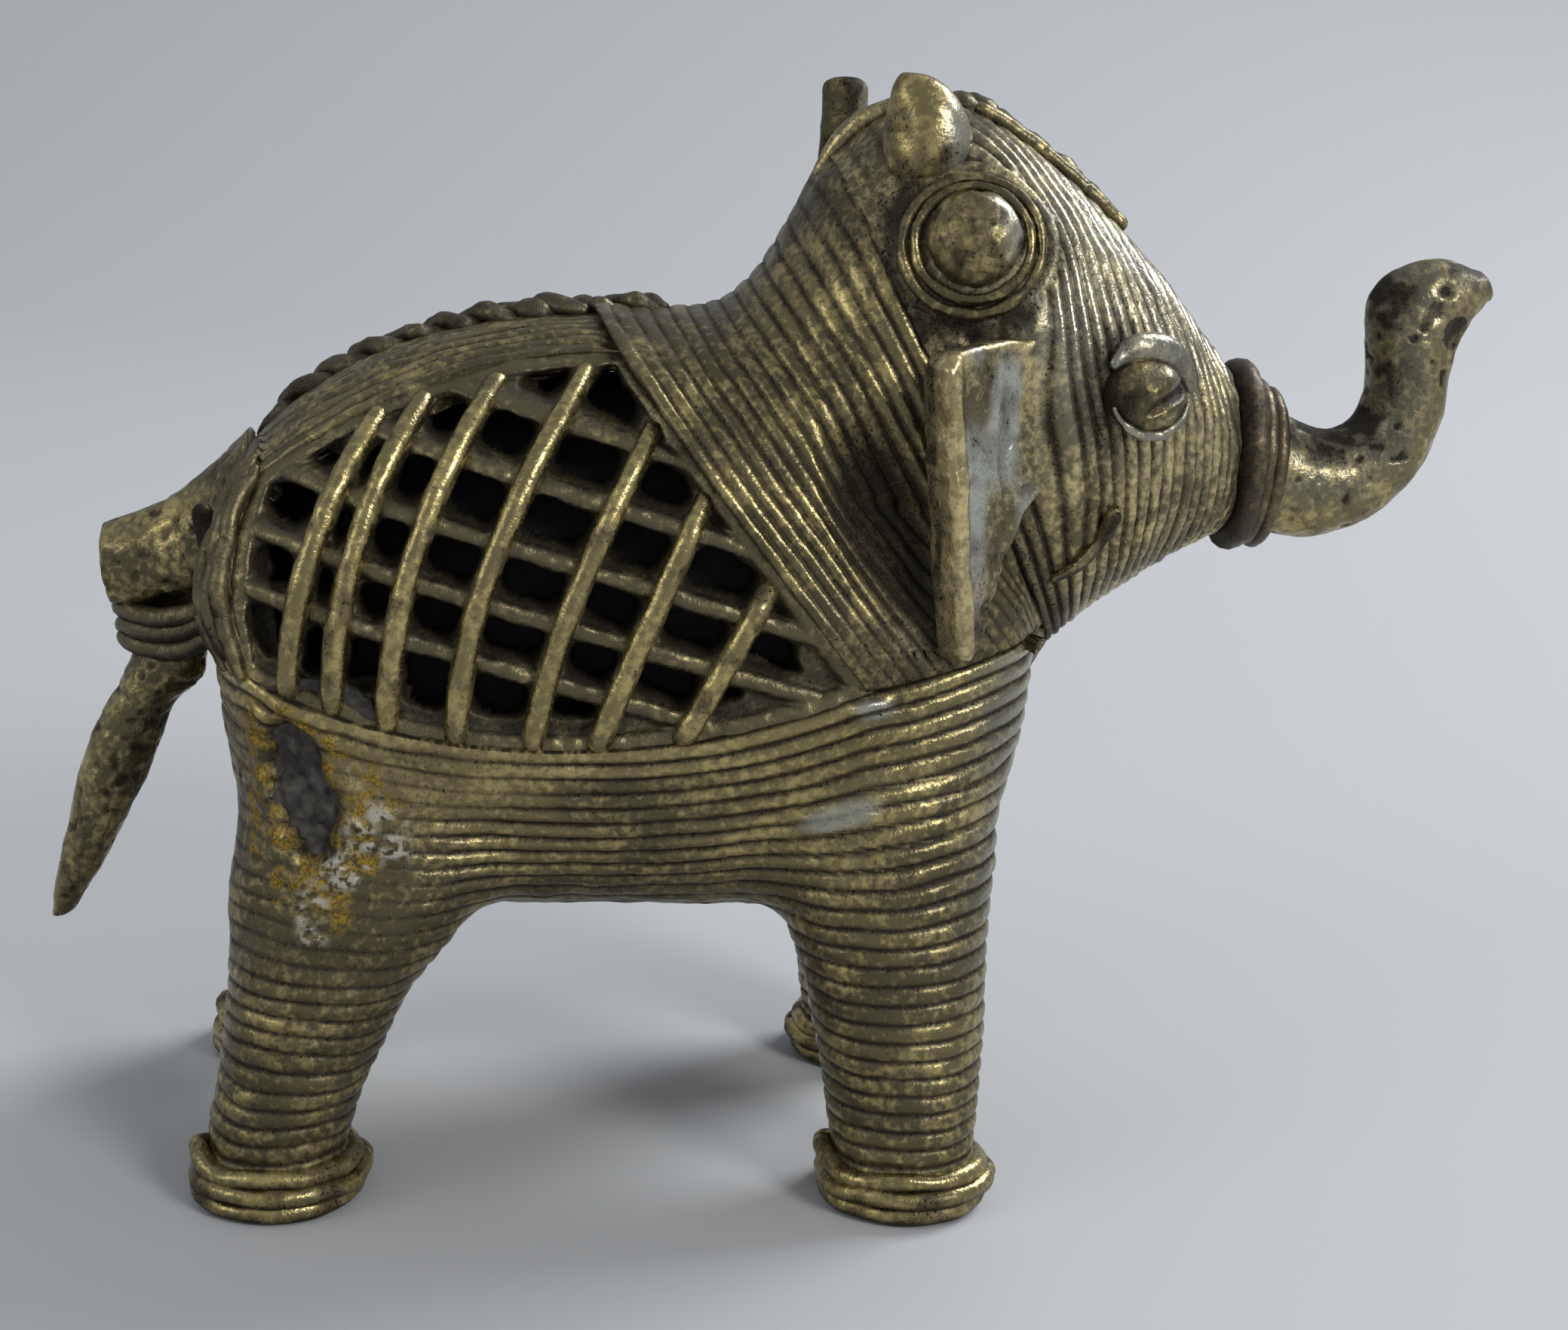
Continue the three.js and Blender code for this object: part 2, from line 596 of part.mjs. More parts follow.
function bossRings(frame) {
  const inner = boss.domeRadius + gap;
  const outer = inner + 2 * boss.ringRadius * boss.rings;
  const profile = [[outer, -3], [outer, 0.5]];
  for (let i = boss.rings - 1; i >= 0; i--) {
    const middle = inner + (2 * i + 1) * boss.ringRadius;
    profile.push([middle, 0.5 + 1.2 * boss.ringRadius], [middle - boss.ringRadius, 0.5]);
  }
  profile.push([inner, -3], [outer, -3]);
  const geometry = new THREE.LatheGeometry(profile.map(([x, y]) => new THREE.Vector2(x, y)), 12);
  return solidOf(geometry.applyMatrix4(frame)).subtract(headEnvelope);
}

function eyeBall(frame) {
  const geometry = new THREE.SphereGeometry(1, 10, 6);
  geometry.scale(eye.length / 2, eye.bulge / 2, eye.height / 2);
  return solidOf(geometry.applyMatrix4(frame)).subtract(headEnvelope);
}

// The upper lid follows the eye's outline from corner to corner.
function eyeLid(frame) {
  const points = plain(8).map(({ u }) => {
    const angle = Math.PI * (0.06 + 0.88 * u);
    const length = eye.length / 2 + gap + eye.lid;
    const height = eye.height / 2 + gap + eye.lid;
    return new THREE.Vector3(length * Math.cos(angle), 0.55, height * Math.sin(angle)).applyMatrix4(frame);
  });
  const up = new THREE.Vector3().setFromMatrixColumn(frame, 1);
  return thread(points, eye.lid, { up, sides: 5 }).subtract(headEnvelope);
}

// The ear is a flat flap that stands out and back from its root on the cheek.
function earFlap(side) {
  const edge = [
    [0, 0.5], [0.3, 0.62], [0.72, 0.5], [1, 0.46],
    [1, -0.44], [0.62, -0.5], [0.35, -0.38], [0, -0.34],
  ];
  const shape = new THREE.Shape(edge.map(([x, z]) => new THREE.Vector2(x * ear.reach, z * ear.height)));
  const geometry = new THREE.ExtrudeGeometry(shape, {
    depth: ear.thickness - 2 * ear.bevel,
    bevelThickness: ear.bevel,
    bevelSize: ear.bevel,
    bevelOffset: -ear.bevel,
    bevelSegments: 1,
  });
  const root = headPoint(ear.u, ear.degrees, 0, side);
  const sweep = THREE.MathUtils.degToRad(ear.sweep);
  const back = new THREE.Vector3(-Math.cos(sweep), side * Math.sin(sweep), 0);
  const upward = new THREE.Vector3(0, 0, 1);
  const out = new THREE.Vector3().crossVectors(back, upward);
  geometry.translate(-1.2, 0, ear.bevel - ear.thickness / 2);
  geometry.applyMatrix4(new THREE.Matrix4().makeBasis(back, upward, out).setPosition(root));
  return solidOf(geometry).subtract(headEnvelope).subtract(shoulderEnvelope);
}

// Trunk

const snout = {
  top: [poll.x + 34.6, poll.z - 15.8],
  low: [throat.x + 14.4, throat.z + 9.7],
};
// Offsets of the trunk's inner edge from the snout's top, and of its outer edge from the snout's foot
const trunkSections = [
  [0.6, -1.2, 0.6, 1, 5.6],
  [4.6, -3.4, 3.6, 0, 5],
  [8.4, -4.9, 8, 0, 4.4],
  [11, -4, 13.4, 2.1, 3.9],
  [12, -1.6, 17, 6.2, 3.6],
  [11.8, 2, 18.4, 10.4, 3.5],
  [11.5, 6.2, 18.7, 14.4, 3.6],
  [13.6, 8.7, 19.6, 17.4, 3.5],
  [17.2, 9.7, 20.6, 19.2, 2.7],
  [20.4, 8.9, 21.35, 20.3, 1.6],
].map(([x1, z1, x2, z2, half]) => {
  return [snout.top[0] + x1, snout.top[1] + z1, snout.low[0] + x2, snout.low[1] + z2, half];
});

// The collar's rings lie on the trunk's root.
function collarRings() {
  const curves = loftCurves(trunkSections);
  const length = curves.other.getLength();
  return threadStack(collar, 12, (out, along, angle) => {
    const u = (along + 1.2 * collar.threadRadius) / length;
    const { middle, reach, half } = loftRing(curves, u, gap + collar.threadRadius + out);
    middle.addScaledVector(reach, Math.sin(angle));
    middle.y = half * Math.cos(angle);
    return middle;
  }).subtract(headEnvelope);
}

// Crown, crest and spine

// A lumpy plait over a run of points, half sunk into what carries it
function plait(points, { halfWidth, height, lumps }, up) {
  const steps = points.length - 1;
  const across = new THREE.Vector3(0, 1, 0);
  const sides = 6;
  return skin(sides, steps, (step, turn, spread) => {
    const swell = 0.72 + 0.28 * Math.abs(Math.sin((Math.PI * lumps * step) / steps));
    const angle = ((turn + 0.5) * 2 * Math.PI) / sides;
    return points[step]
      .clone()
      .addScaledVector(across, spread * swell * halfWidth * Math.cos(angle))
      .addScaledVector(up(step / steps), spread * swell * height * Math.sin(angle));
  });
}

function spineBraid() {
  const from = rearX + 4.6;
  const to = neckRootX - 3 * gap;
  const points = plain(2 * braid.lumps, from, to).map(({ u }) => {
    return new THREE.Vector3(u, 0, torso.axisZ + torsoSpan(u, 0).rise + gap);
  });
  const up = (u) => new THREE.Vector3(-0.7 * (1 - u) ** 2, 0, 1).normalize();
  return plait(points, braid, up).subtract(torsoForm(gap)).subtract(neckAndBeyond);
}

function crestBraid() {
  const points = plain(2 * crest.lumps, 0.24, 0.58).map(({ u }) => headPoint(u, 90, gap, right));
  const up = (u) => new THREE.Vector3(0.1 + 0.6 * u, 0, 1).normalize();
  return plait(points, crest, up).subtract(headEnvelope);
}

function crestBorder(side) {
  const degrees = 90 - THREE.MathUtils.radToDeg(Math.asin(crest.spread / headHalfWidth));
  const points = plain(6, 0.22, 0.62).map(({ u }) => headPoint(u, degrees, 0.4 * crest.border + gap, side));
  return thread(points, crest.border, { sides: 5, up: new THREE.Vector3(0.3, 0, 1) }).subtract(headEnvelope);
}

// Two wax knobs on the crown: a drop leaning back on the right, an upright tab on the left
function crownKnob(side) {
  const drop = side === right;
  const foot = headPoint(drop ? 0.17 : 0.03, 58, 0, side);
  const heights = drop ? [-2.4, 0.6, 2.4, 3.9, 4.6] : [-2.4, 2.4, 5.4, 7.6, 8.2];
  const radii = drop ? [2.7, 3, 2.9, 2.1, 0.7] : [2.1, 2.1, 2, 1.9, 1.3];
  const lean = drop ? -0.25 : 0;
  return skin(10, heights.length - 1, (step, turn, spread) => {
    const angle = (turn * 2 * Math.PI) / 10;
    const size = spread * radii[step];
    const x = foot.x + lean * heights[step] + size * Math.cos(angle);
    return new THREE.Vector3(x, foot.y + size * Math.sin(angle), foot.z + heights[step]);
  }).subtract(headEnvelope).subtract(neckEnvelope);
}

// Tail

const tailRoot = { x: rearX + 1.5, z: torso.axisZ + 5.6 };
const stubSections = [
  [tailRoot.x + 2, tailRoot.z + 7.2, tailRoot.x + 1, tailRoot.z - 6, 5.6],
  [tailRoot.x - 1.6, tailRoot.z + 3.6, tailRoot.x - 1.2, tailRoot.z - 5.4, 4.6],
  [tailRoot.x - 5.4, tailRoot.z + 1, tailRoot.x - 4.6, tailRoot.z - 5.6, 3.8],
  [tailRoot.x - 10, tailRoot.z - 0.8, tailRoot.x - 9.4, tailRoot.z - 6, 3.2],
];
const tailTop = tailRoot.z - 12;
const tailSections = [
  [tailRoot.x - 6.4, tailTop + 4, tailRoot.x - 1.9, tailTop + 4, 2.4],
  [tailRoot.x - 8.3, tailTop - 1, tailRoot.x - 2, tailTop - 0.6, 3.2],
  [tailRoot.x - 11.2, tailTop - 0.25 * tailLength, tailRoot.x - 4.6, tailTop - 0.15 * tailLength, 2.9],
  [tailRoot.x - 13, tailTop - 0.5 * tailLength, tailRoot.x - 7.2, tailTop - 0.4 * tailLength, 2.5],
  [tailRoot.x - 14.9, tailTop - 0.74 * tailLength, tailRoot.x - 10.5, tailTop - 0.66 * tailLength, 1.9],
  [tailRoot.x - 15.25, tailTop - 0.86 * tailLength, tailRoot.x - 13.3, tailTop - 0.84 * tailLength, 1.1],
];

// Threads slung from the rump under the stub and round the root of the tail, one below the other
function tailWraps() {
  const half = [
    [tailRoot.x - 0.2, tailRoot.z + 0.6, 8.2],
    [tailRoot.x - 1.2, tailRoot.z - 3.8, 7.4],
    [tailRoot.x - 4, tailRoot.z - 7.2, 5.9],
    [tailRoot.x - 8, tailRoot.z - 8.4, 3.8],
    [tailRoot.x - 9.8, tailRoot.z - 8.2, 0],
  ];
  const loop = [...half, ...half.slice(0, -1).reverse().map(([x, z, y]) => [x, z, -y])];
  const curve = smoothCurve(loop);
  const threads = plain(wrap.threads - 1).map((_, i) => {
    const points = curve.getPoints(8).map((point) => point.setZ(point.z - wrap.spacing * i));
    return thread(points, wrap.radius, { sides: 5 });
  });
  return join(threads).subtract(torsoForm(gap));
}

// Assembly

const elephant = new THREE.Group();

function place(name, solid, finish) {
  const { vertProperties, triVerts } = solid.getMesh();
  const geometry = new THREE.BufferGeometry();
  geometry.setAttribute("position", new THREE.BufferAttribute(vertProperties, 3));
  geometry.setIndex(new THREE.BufferAttribute(triVerts, 1));
  geometry.computeVertexNormals();
  const mesh = new THREE.Mesh(geometry, new THREE.MeshStandardMaterial(finish));
  mesh.name = name;
  elephant.add(mesh);
}

const legEnvelopes = join(legs.map((leg) => leg.envelope));
const belly = openShell.intersect(slab(bellyRegion, -far, far)).subtract(legEnvelopes);
place("belly_trough", belly.subtract(flaw), brass);
place("rump_panel", openShell.intersect(slab(rumpRegion, -far, far)), darkBrass);
place("back_panel", openShell.intersect(slab(backRegion, -far, far)), brass);
const neckShell = neckOuter.subtract(neckHollow).subtract(torsoHollow);
place("neck_shell", neckShell.intersect(slab(neckRegion, -far, far)), brass);
place("head_shell", headOuter.subtract(headHollow), brass);
place("head_core", headCore, clay);
place("body_core", torsoCore.add(neckCore.intersect(slab(neckRegion, -far, far))), clay);

for (const { name, outer, hollow, coreForm, ring } of legs) {
  const shell = outer.subtract(hollow).subtract(torsoHollow);
  const flawed = name === "right_rear";
  place(name + "_leg", flawed ? shell.subtract(flaw) : shell, brass);
  const core = flawed ? coreForm.subtract(coreInside).add(flawCore) : coreForm.subtract(torsoHollow);
  place(name + "_leg_core", core, clay);
  place(name + "_foot_cuff", ring, brightBrass);
}

for (const [name, side] of [["right", right], ["left", left]]) {
  const eyeFrame = headFrame(eye.u, eye.degrees, side);
  place(name + "_grille", grille(side), darkBrass);
  outerBars.forEach((row, i) => place(name + "_bar_" + (i + 1), outerBar(row, side), brightBrass));
  place(name + "_temple_boss", bossDome(headFrame(boss.u, boss.degrees, side)), brass);
  place(name + "_boss_rings", bossRings(headFrame(boss.u, boss.degrees, side)), brass);
  place(name + "_eye", eyeBall(eyeFrame), silverBrass);
  place(name + "_eyelid", eyeLid(eyeFrame), brass);
  place(name + "_ear", earFlap(side), silverBrass);
  place(name + "_crown_knob", crownKnob(side), brightBrass);
  place(name + "_crest_border", crestBorder(side), brass);
}

place("crest_braid", crestBraid(), darkBrass);
const trunk = loft(trunkSections, plain(18), { sides: 10, power: 2 });
place("trunk", trunk.subtract(headEnvelope), brightBrass);
place("trunk_collar", collarRings(), redBrass);
place("spine_braid", spineBraid(), darkBrass);
place("tail_stub", loft(stubSections, plain(4), { sides: 10, power: 2 }).subtract(torsoForm(gap)), brass);
place("tail_wraps", tailWraps(), darkBrass);
place("tail", loft(tailSections, plain(8), { sides: 10, power: 2 }), brass);

export default elephant;
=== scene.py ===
import json
import math
import bmesh
import bpy
import numpy as np
from mathutils import Matrix, Vector

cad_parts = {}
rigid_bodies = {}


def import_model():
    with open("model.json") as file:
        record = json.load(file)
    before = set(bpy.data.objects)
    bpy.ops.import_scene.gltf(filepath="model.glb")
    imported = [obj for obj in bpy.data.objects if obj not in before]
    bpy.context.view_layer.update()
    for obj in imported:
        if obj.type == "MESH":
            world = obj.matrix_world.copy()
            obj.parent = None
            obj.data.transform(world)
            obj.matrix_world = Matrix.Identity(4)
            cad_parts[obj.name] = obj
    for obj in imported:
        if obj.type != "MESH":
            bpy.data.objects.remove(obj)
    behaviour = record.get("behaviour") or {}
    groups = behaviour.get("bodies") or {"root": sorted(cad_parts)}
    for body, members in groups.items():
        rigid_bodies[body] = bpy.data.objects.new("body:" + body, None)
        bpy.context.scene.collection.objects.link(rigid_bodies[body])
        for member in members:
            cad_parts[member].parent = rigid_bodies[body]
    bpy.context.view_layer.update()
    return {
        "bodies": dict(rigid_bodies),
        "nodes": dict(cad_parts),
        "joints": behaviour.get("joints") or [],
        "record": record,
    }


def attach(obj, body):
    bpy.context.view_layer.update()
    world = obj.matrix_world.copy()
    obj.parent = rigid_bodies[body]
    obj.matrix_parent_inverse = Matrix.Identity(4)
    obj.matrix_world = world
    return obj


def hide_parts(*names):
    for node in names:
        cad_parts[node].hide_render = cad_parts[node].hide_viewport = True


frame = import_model()
mm = 0.001  # all lengths below are in millimetres until a piece is laid
body = "root"
right = -1
left = 1
sideNames = {right: "right", left: "left"}


# sums on arrays

def smoothStep(low, high, value):
    t = np.clip((value - low) / (high - low), 0, 1)
    return t * t * (3 - 2 * t)


def unit(vectors):
    return vectors / np.maximum(np.linalg.norm(vectors, axis=-1, keepdims=True), 1e-9)


def bend(value, power):
    return np.sign(value) * np.abs(value) ** (2 / power)


def smoothLeast(a, b, reach):
    h = np.clip(0.5 + 0.5 * (b - a) / reach, 0, 1)
    return b + (a - b) * h - reach * h * (1 - h)


def patchOf(x, z, middle, radii, soft=0.35):
    # 1 inside an ellipse in the side view, fading to 0 at its edge
    r = np.hypot((x - middle[0]) / radii[0], (z - middle[1]) / radii[1])
    return 1 - smoothStep(1 - soft, 1 + soft, r)


def cellValue(x, y, z, seed):
    n = (x * 374761393 + y * 668265263 + z * 1274126177 + seed * 974634777) & 0xFFFFFFFF
    n = ((n ^ (n >> 13)) * 1103515245) & 0xFFFFFFFF
    return ((n ^ (n >> 16)) & 0xFFFF) / 32767.5 - 1


def noise(points, size, seed):
    # soft noise from -1 to 1 with lumps of one size
    q = points / size
    cell = np.floor(q).astype(np.int64)
    f = q - cell
    f = f * f * (3 - 2 * f)
    total = 0
    for dx in (0, 1):
        for dy in (0, 1):
            for dz in (0, 1):
                weight = f[..., 0] if dx else 1 - f[..., 0]
                weight = weight * (f[..., 1] if dy else 1 - f[..., 1])
                weight = weight * (f[..., 2] if dz else 1 - f[..., 2])
                corner = cellValue(cell[..., 0] + dx, cell[..., 1] + dy, cell[..., 2] + dz, seed)
                total = total + weight * corner
    return total


def catmull(rows, u):
    # a smooth run through evenly counted rows, u from 0 to 1
    rows = np.asarray(rows, float)
    last = len(rows) - 1
    at = np.clip(np.asarray(u, float), 0, 1) * last
    i = np.minimum(np.floor(at).astype(int), last - 1)
    t = (at - i)[..., None]
    a, b = rows[i], rows[i + 1]
    before = np.where((i == 0)[..., None], 2 * a - b, rows[np.maximum(i - 1, 0)])
    after = np.where((i == last - 1)[..., None], 2 * b - a, rows[np.minimum(i + 2, last)])
    return 0.5 * (2 * a + (b - before) * t + (2 * before - 5 * a + 4 * b - after) * t ** 2
                  + (3 * a - before - 3 * b + after) * t ** 3)


def evenly(line, count):
    # the same line through count + 1 evenly spaced points
    line = np.asarray(line, float)
    lengths = np.concatenate([[0], np.cumsum(np.linalg.norm(np.diff(line, axis=0), axis=1))])
    at = np.linspace(0, lengths[-1], count + 1)
    return np.stack([np.interp(at, lengths, line[:, k]) for k in range(line.shape[1])], axis=1)


def outlineGap(x, z, outline):
    # distance to a closed outline in the side view, negative inside it
    outline = np.asarray(outline, float)
    inside = np.zeros(np.shape(x), bool)
    for (x1, z1), (x2, z2) in zip(outline, np.roll(outline, -1, axis=0)):
        if z1 != z2:
            inside ^= ((z1 > z) != (z2 > z)) & (x < (x2 - x1) * (z - z1) / (z2 - z1) + x1)
    away = lineGap(x, z, np.concatenate([outline, outline[:1]]))
    return np.where(inside, -away, away)


def lineGap(x, z, line):
    nearest = np.full(np.shape(x), 1e9)
    for (x1, z1), (x2, z2) in zip(line[:-1], line[1:]):
        dx, dz = x2 - x1, z2 - z1
        t = np.clip(((x - x1) * dx + (z - z1) * dz) / (dx * dx + dz * dz), 0, 1)
        nearest = np.minimum(nearest, np.hypot(x - x1 - t * dx, z - z1 - t * dz))
    return nearest


def blotches(points, size, seed, low, high):
    # places from 0 to 1 with soft edges, strewn in lumps of one size
    return smoothStep(low, high, noise(points, size, seed))


def laidThreads(phase):
    # height and grime across wax threads laid side by side, one thread for each whole phase
    t = np.abs(2 * (phase - np.floor(phase)) - 1)
    return 1 - t ** 2.6, smoothStep(0.5, 0.97, t)


def threadOdds(phase, seed):
    n = np.floor(phase).astype(np.int64)
    return cellValue(n, n * 0, n * 0, seed)


# sheets of points, rows x columns x 3, which become closed pieces

maskNames = ("grime", "gold", "silver", "ochre", "crust")
weldReach = 0.00005
capDegrees = [90, 62, 32]


def sheetNormals(sheet, inside, wrapped=True):
    if wrapped:
        ring = sheet[:, :-1]
        across = np.roll(ring, -1, axis=1) - np.roll(ring, 1, axis=1)
        across = np.concatenate([across, across[:, :1]], axis=1)
    else:
        across = np.gradient(sheet, axis=1)
    normals = unit(np.cross(across, np.gradient(sheet, axis=0)))
    facing = np.sum(normals * unit(sheet - np.asarray(inside, float)))
    return normals if facing > 0 else -normals


def pushed(sheet, normals, height):
    return sheet + normals * height[..., None]


def laySheet(bm, sheet, masks, keep=None):
    rows, cols = sheet.shape[:2]
    grid = bmesh.new()
    bmesh.ops.create_grid(grid, x_segments=cols - 1, y_segments=rows - 1, size=0.5)
    mesh = bpy.data.meshes.new("sheet")
    grid.to_mesh(mesh)
    grid.free()
    mesh.vertices.foreach_set("co", (sheet * mm).astype(np.float32).ravel())
    for key in maskNames:
        values = np.broadcast_to(masks.get(key, 0.0), (rows, cols)).astype(np.float32)
        mesh.attributes.new(key, "FLOAT", "POINT").data.foreach_set("value", values.ravel())
    start = len(bm.faces)
    bm.from_mesh(mesh)
    bpy.data.meshes.remove(mesh)
    if keep is not None:
        kept = keep[:-1, :-1] & keep[1:, :-1] & keep[:-1, 1:] & keep[1:, 1:]
        bm.faces.ensure_lookup_table()
        drop = [bm.faces[start + i] for i in np.flatnonzero(~kept.ravel())]
        bmesh.ops.delete(bm, geom=drop, context="FACES")


def layPiece(name, sheets, node, material, wall=0):
    # each sheet is a pair of points and masks, with a third value where some of its faces go
    bm = bmesh.new()
    for sheet in sheets:
        laySheet(bm, *sheet)
    bmesh.ops.remove_doubles(bm, verts=bm.verts, dist=weldReach * mm)
    bmesh.ops.recalc_face_normals(bm, faces=bm.faces)
    if wall:
        bmesh.ops.solidify(bm, geom=bm.faces[:], thickness=wall * mm)
        bmesh.ops.recalc_face_normals(bm, faces=bm.faces)
    mesh = bpy.data.meshes.new(name)
    bm.to_mesh(mesh)
    bm.free()
    mesh.polygons.foreach_set("use_smooth", [True] * len(mesh.polygons))
    mesh.materials.append(material)
    piece = bpy.data.objects.new(name, mesh)
    bpy.context.scene.collection.objects.link(piece)
    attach(piece, body)
    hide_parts(node)


def cupSheets(outer, masks, inner):
    # the inner wall starts on the outer one's rim, so that the two weld into a closed cup; the inner wall is
    # dark all over
    inner = np.concatenate([outer[:1], inner], axis=0)
    return [(outer, masks), (inner, {"grime": 1.0})]


def repeatEnds(rows, before, after):
    return np.concatenate([np.repeat(rows[:1], before, axis=0), rows, np.repeat(rows[-1:], after, axis=0)])


def tubeSheet(path, radius, sides=14, up=(0, 0, 1), flat=1.0, loop=False):
    # a round thread along a path, its ends rounded unless it closes on itself
    path = np.asarray(path, float)
    radius = np.broadcast_to(radius, len(path))
    up = np.broadcast_to(up, path.shape)
    if loop:
        ahead = unit(np.roll(path, -1, axis=0) - np.roll(path, 1, axis=0))
    else:
        ahead = unit(np.gradient(path, axis=0))
        caps = np.radians(capDegrees)
        first = path[0] - np.outer(radius[0] * np.sin(caps), ahead[0])
        final = path[-1] + np.outer(radius[-1] * np.sin(caps[::-1]), ahead[-1])
        path = np.concatenate([first, path, final])
        radius = np.concatenate([radius[0] * np.cos(caps), radius, radius[-1] * np.cos(caps[::-1])])
        ahead = repeatEnds(ahead, len(caps), len(caps))
        up = repeatEnds(up, len(caps), len(caps))
    side = unit(np.cross(ahead, up))
    top = np.cross(side, ahead)
    angles = np.linspace(0, 2 * np.pi, sides + 1)
    around = side[:, None] * np.cos(angles)[:, None] + flat * top[:, None] * np.sin(angles)[:, None]
    sheet = path[:, None] + radius[:, None, None] * around
    if loop:
        sheet = np.concatenate([sheet, sheet[:1]])
    else:
        sheet[0] = path[0]
        sheet[-1] = path[-1]
    # darker on the side facing away from up
    grime = np.broadcast_to(smoothStep(0.1, -0.8, np.sin(angles)), sheet.shape[:2])
    return sheet, grime


def roughen(sheet, middle, *bumps):
    # bumps are pairs of height and size
    normals = sheetNormals(sheet, middle)
    loop = np.allclose(sheet[0], sheet[-1])
    for i, (height, size) in enumerate(bumps):
        sheet = pushed(sheet, normals, height * noise(sheet, size, 11 + i))
    if loop:
        sheet[-1] = sheet[0]
    return sheet


def waxThread(path, radius, middle, bumps, dirt, sides=14, under=1.0, gold=0.0, silver=0.0, **shape):
    # a rolled thread; dirt is its strength, its blotches' size and seed, and where they start and end
    tube, grime = tubeSheet(path, radius, sides, **shape)
    tube = roughen(tube, middle, *bumps)
    strength, *spots = dirt
    grime = np.clip(under * grime + strength * blotches(tube, *spots), 0, 1)
    return tube, {"grime": grime, "gold": gold, "silver": silver}


print("helpers ready")


# materials, in object coordinates so that each wax piece has its own grain

def addNode(tree, kind, **values):
    node = tree.nodes.new(kind)
    for key, value in values.items():
        if key in node.inputs:
            node.inputs[key].default_value = value
        else:
            setattr(node, key, value)
    return node


def mixColours(tree, factor, a, b):
    mix = addNode(tree, "ShaderNodeMix", data_type="RGBA")
    tree.links.new(factor, mix.inputs[0])
    for socket, value in ((6, a), (7, b)):
        if isinstance(value, tuple):
            mix.inputs[socket].default_value = value
        else:
            tree.links.new(value, mix.inputs[socket])
    return mix.outputs[2]


def sums(tree, operation, a, b):
    node = addNode(tree, "ShaderNodeMath", operation=operation)
    for socket, value in enumerate((a, b)):
        if isinstance(value, (int, float)):
            node.inputs[socket].default_value = value
        else:
            tree.links.new(value, node.inputs[socket])
    return node.outputs[0]


def times(tree, a, b):
    return sums(tree, "MULTIPLY", a, b)


def plus(tree, a, b):
    return sums(tree, "ADD", a, b)


def grain(tree, coordinates, scale, detail=3.0):
    node = addNode(tree, "ShaderNodeTexNoise", Scale=scale, Detail=detail)
    tree.links.new(coordinates, node.inputs["Vector"])
    return node.outputs[0]


def masked(tree, key):
    return addNode(tree, "ShaderNodeAttribute", attribute_name=key).outputs["Fac"]


def ramp(tree, value, low, high):
    node = addNode(tree, "ShaderNodeMapRange")
    tree.links.new(value, node.inputs["Value"])
    node.inputs["From Min"].default_value = low
    node.inputs["From Max"].default_value = high
    return node.outputs["Result"]


# the colour of dirt and of painted shade, then the pale grey of painted reflections
grimeAndShadeColour = (0.014, 0.011, 0.007, 1)
paintedSheenColour = (0.42, 0.43, 0.38, 1)
ochreColours = ((0.1, 0.068, 0.02, 1), (0.27, 0.175, 0.026, 1))
crustColour = (0.33, 0.315, 0.255, 1)
broadGrain = 260.0
fineGrain = 1500.0
gritGrain = 4200.0


def makeMetal(name, crest, patina, gloss, tarnish=0.5):
    material = bpy.data.materials.new(name)
    material.use_nodes = True
    tree = material.node_tree
    shader = tree.nodes["Principled BSDF"]
    place = addNode(tree, "ShaderNodeTexCoord").outputs["Object"]
    broad = grain(tree, place, broadGrain)
    fine = grain(tree, place, fineGrain, 4.0)
    grit = grain(tree, place, gritGrain, 2.0)
    # old polish shows on the crests, patina in between, dirt in the grooves and painted shade in hollows; the
    # sheen mask mixes in a pale grey, a painted reflection
    worn = plus(tree, times(tree, fine, 0.55), times(tree, broad, 0.45))
    worn = ramp(tree, worn, 0.42 + 0.12 * tarnish, 0.6 + 0.12 * tarnish)
    worn = plus(tree, worn, times(tree, masked(tree, "gold"), 0.5))
    colour = mixColours(tree, sums(tree, "MINIMUM", worn, 1.0), patina, crest)
    colour = mixColours(tree, times(tree, masked(tree, "silver"), 0.75), colour, paintedSheenColour)
    specks = times(tree, ramp(tree, grit, 0.56, 0.72), 0.5)
    soiled = plus(tree, times(tree, masked(tree, "grime"), 0.92), specks)
    soiled = sums(tree, "MINIMUM", soiled, 1.0)
    colour = mixColours(tree, soiled, colour, grimeAndShadeColour)
    ochre = times(tree, masked(tree, "ochre"), ramp(tree, fine, 0.34, 0.48))
    yellow = mixColours(tree, ramp(tree, grit, 0.4, 0.62), *ochreColours)
    colour = mixColours(tree, ochre, colour, yellow)
    crust = sums(tree, "MINIMUM", masked(tree, "crust"), 1.0)
    crust = times(tree, crust, ramp(tree, fine, 0.42, 0.5))
    colour = mixColours(tree, crust, colour, crustColour)
    tree.links.new(colour, shader.inputs["Base Color"])
    covered = sums(tree, "MAXIMUM", sums(tree, "MAXIMUM", ochre, crust), times(tree, soiled, 0.8))
    bare = sums(tree, "SUBTRACT", 1.0, covered)
    tree.links.new(times(tree, bare, 0.95), shader.inputs["Metallic"])
    tree.links.new(times(tree, bare, 0.5), shader.inputs["Specular IOR Level"])
    rough = plus(tree, times(tree, soiled, 0.35), gloss)
    rough = plus(tree, rough, times(tree, broad, 0.16))
    tree.links.new(rough, shader.inputs["Roughness"])
    bump = addNode(tree, "ShaderNodeBump", Strength=0.5, Distance=0.00012)
    tree.links.new(plus(tree, fine, times(tree, grit, 0.6)), bump.inputs["Height"])
    tree.links.new(bump.outputs[0], shader.inputs["Normal"])
    return material


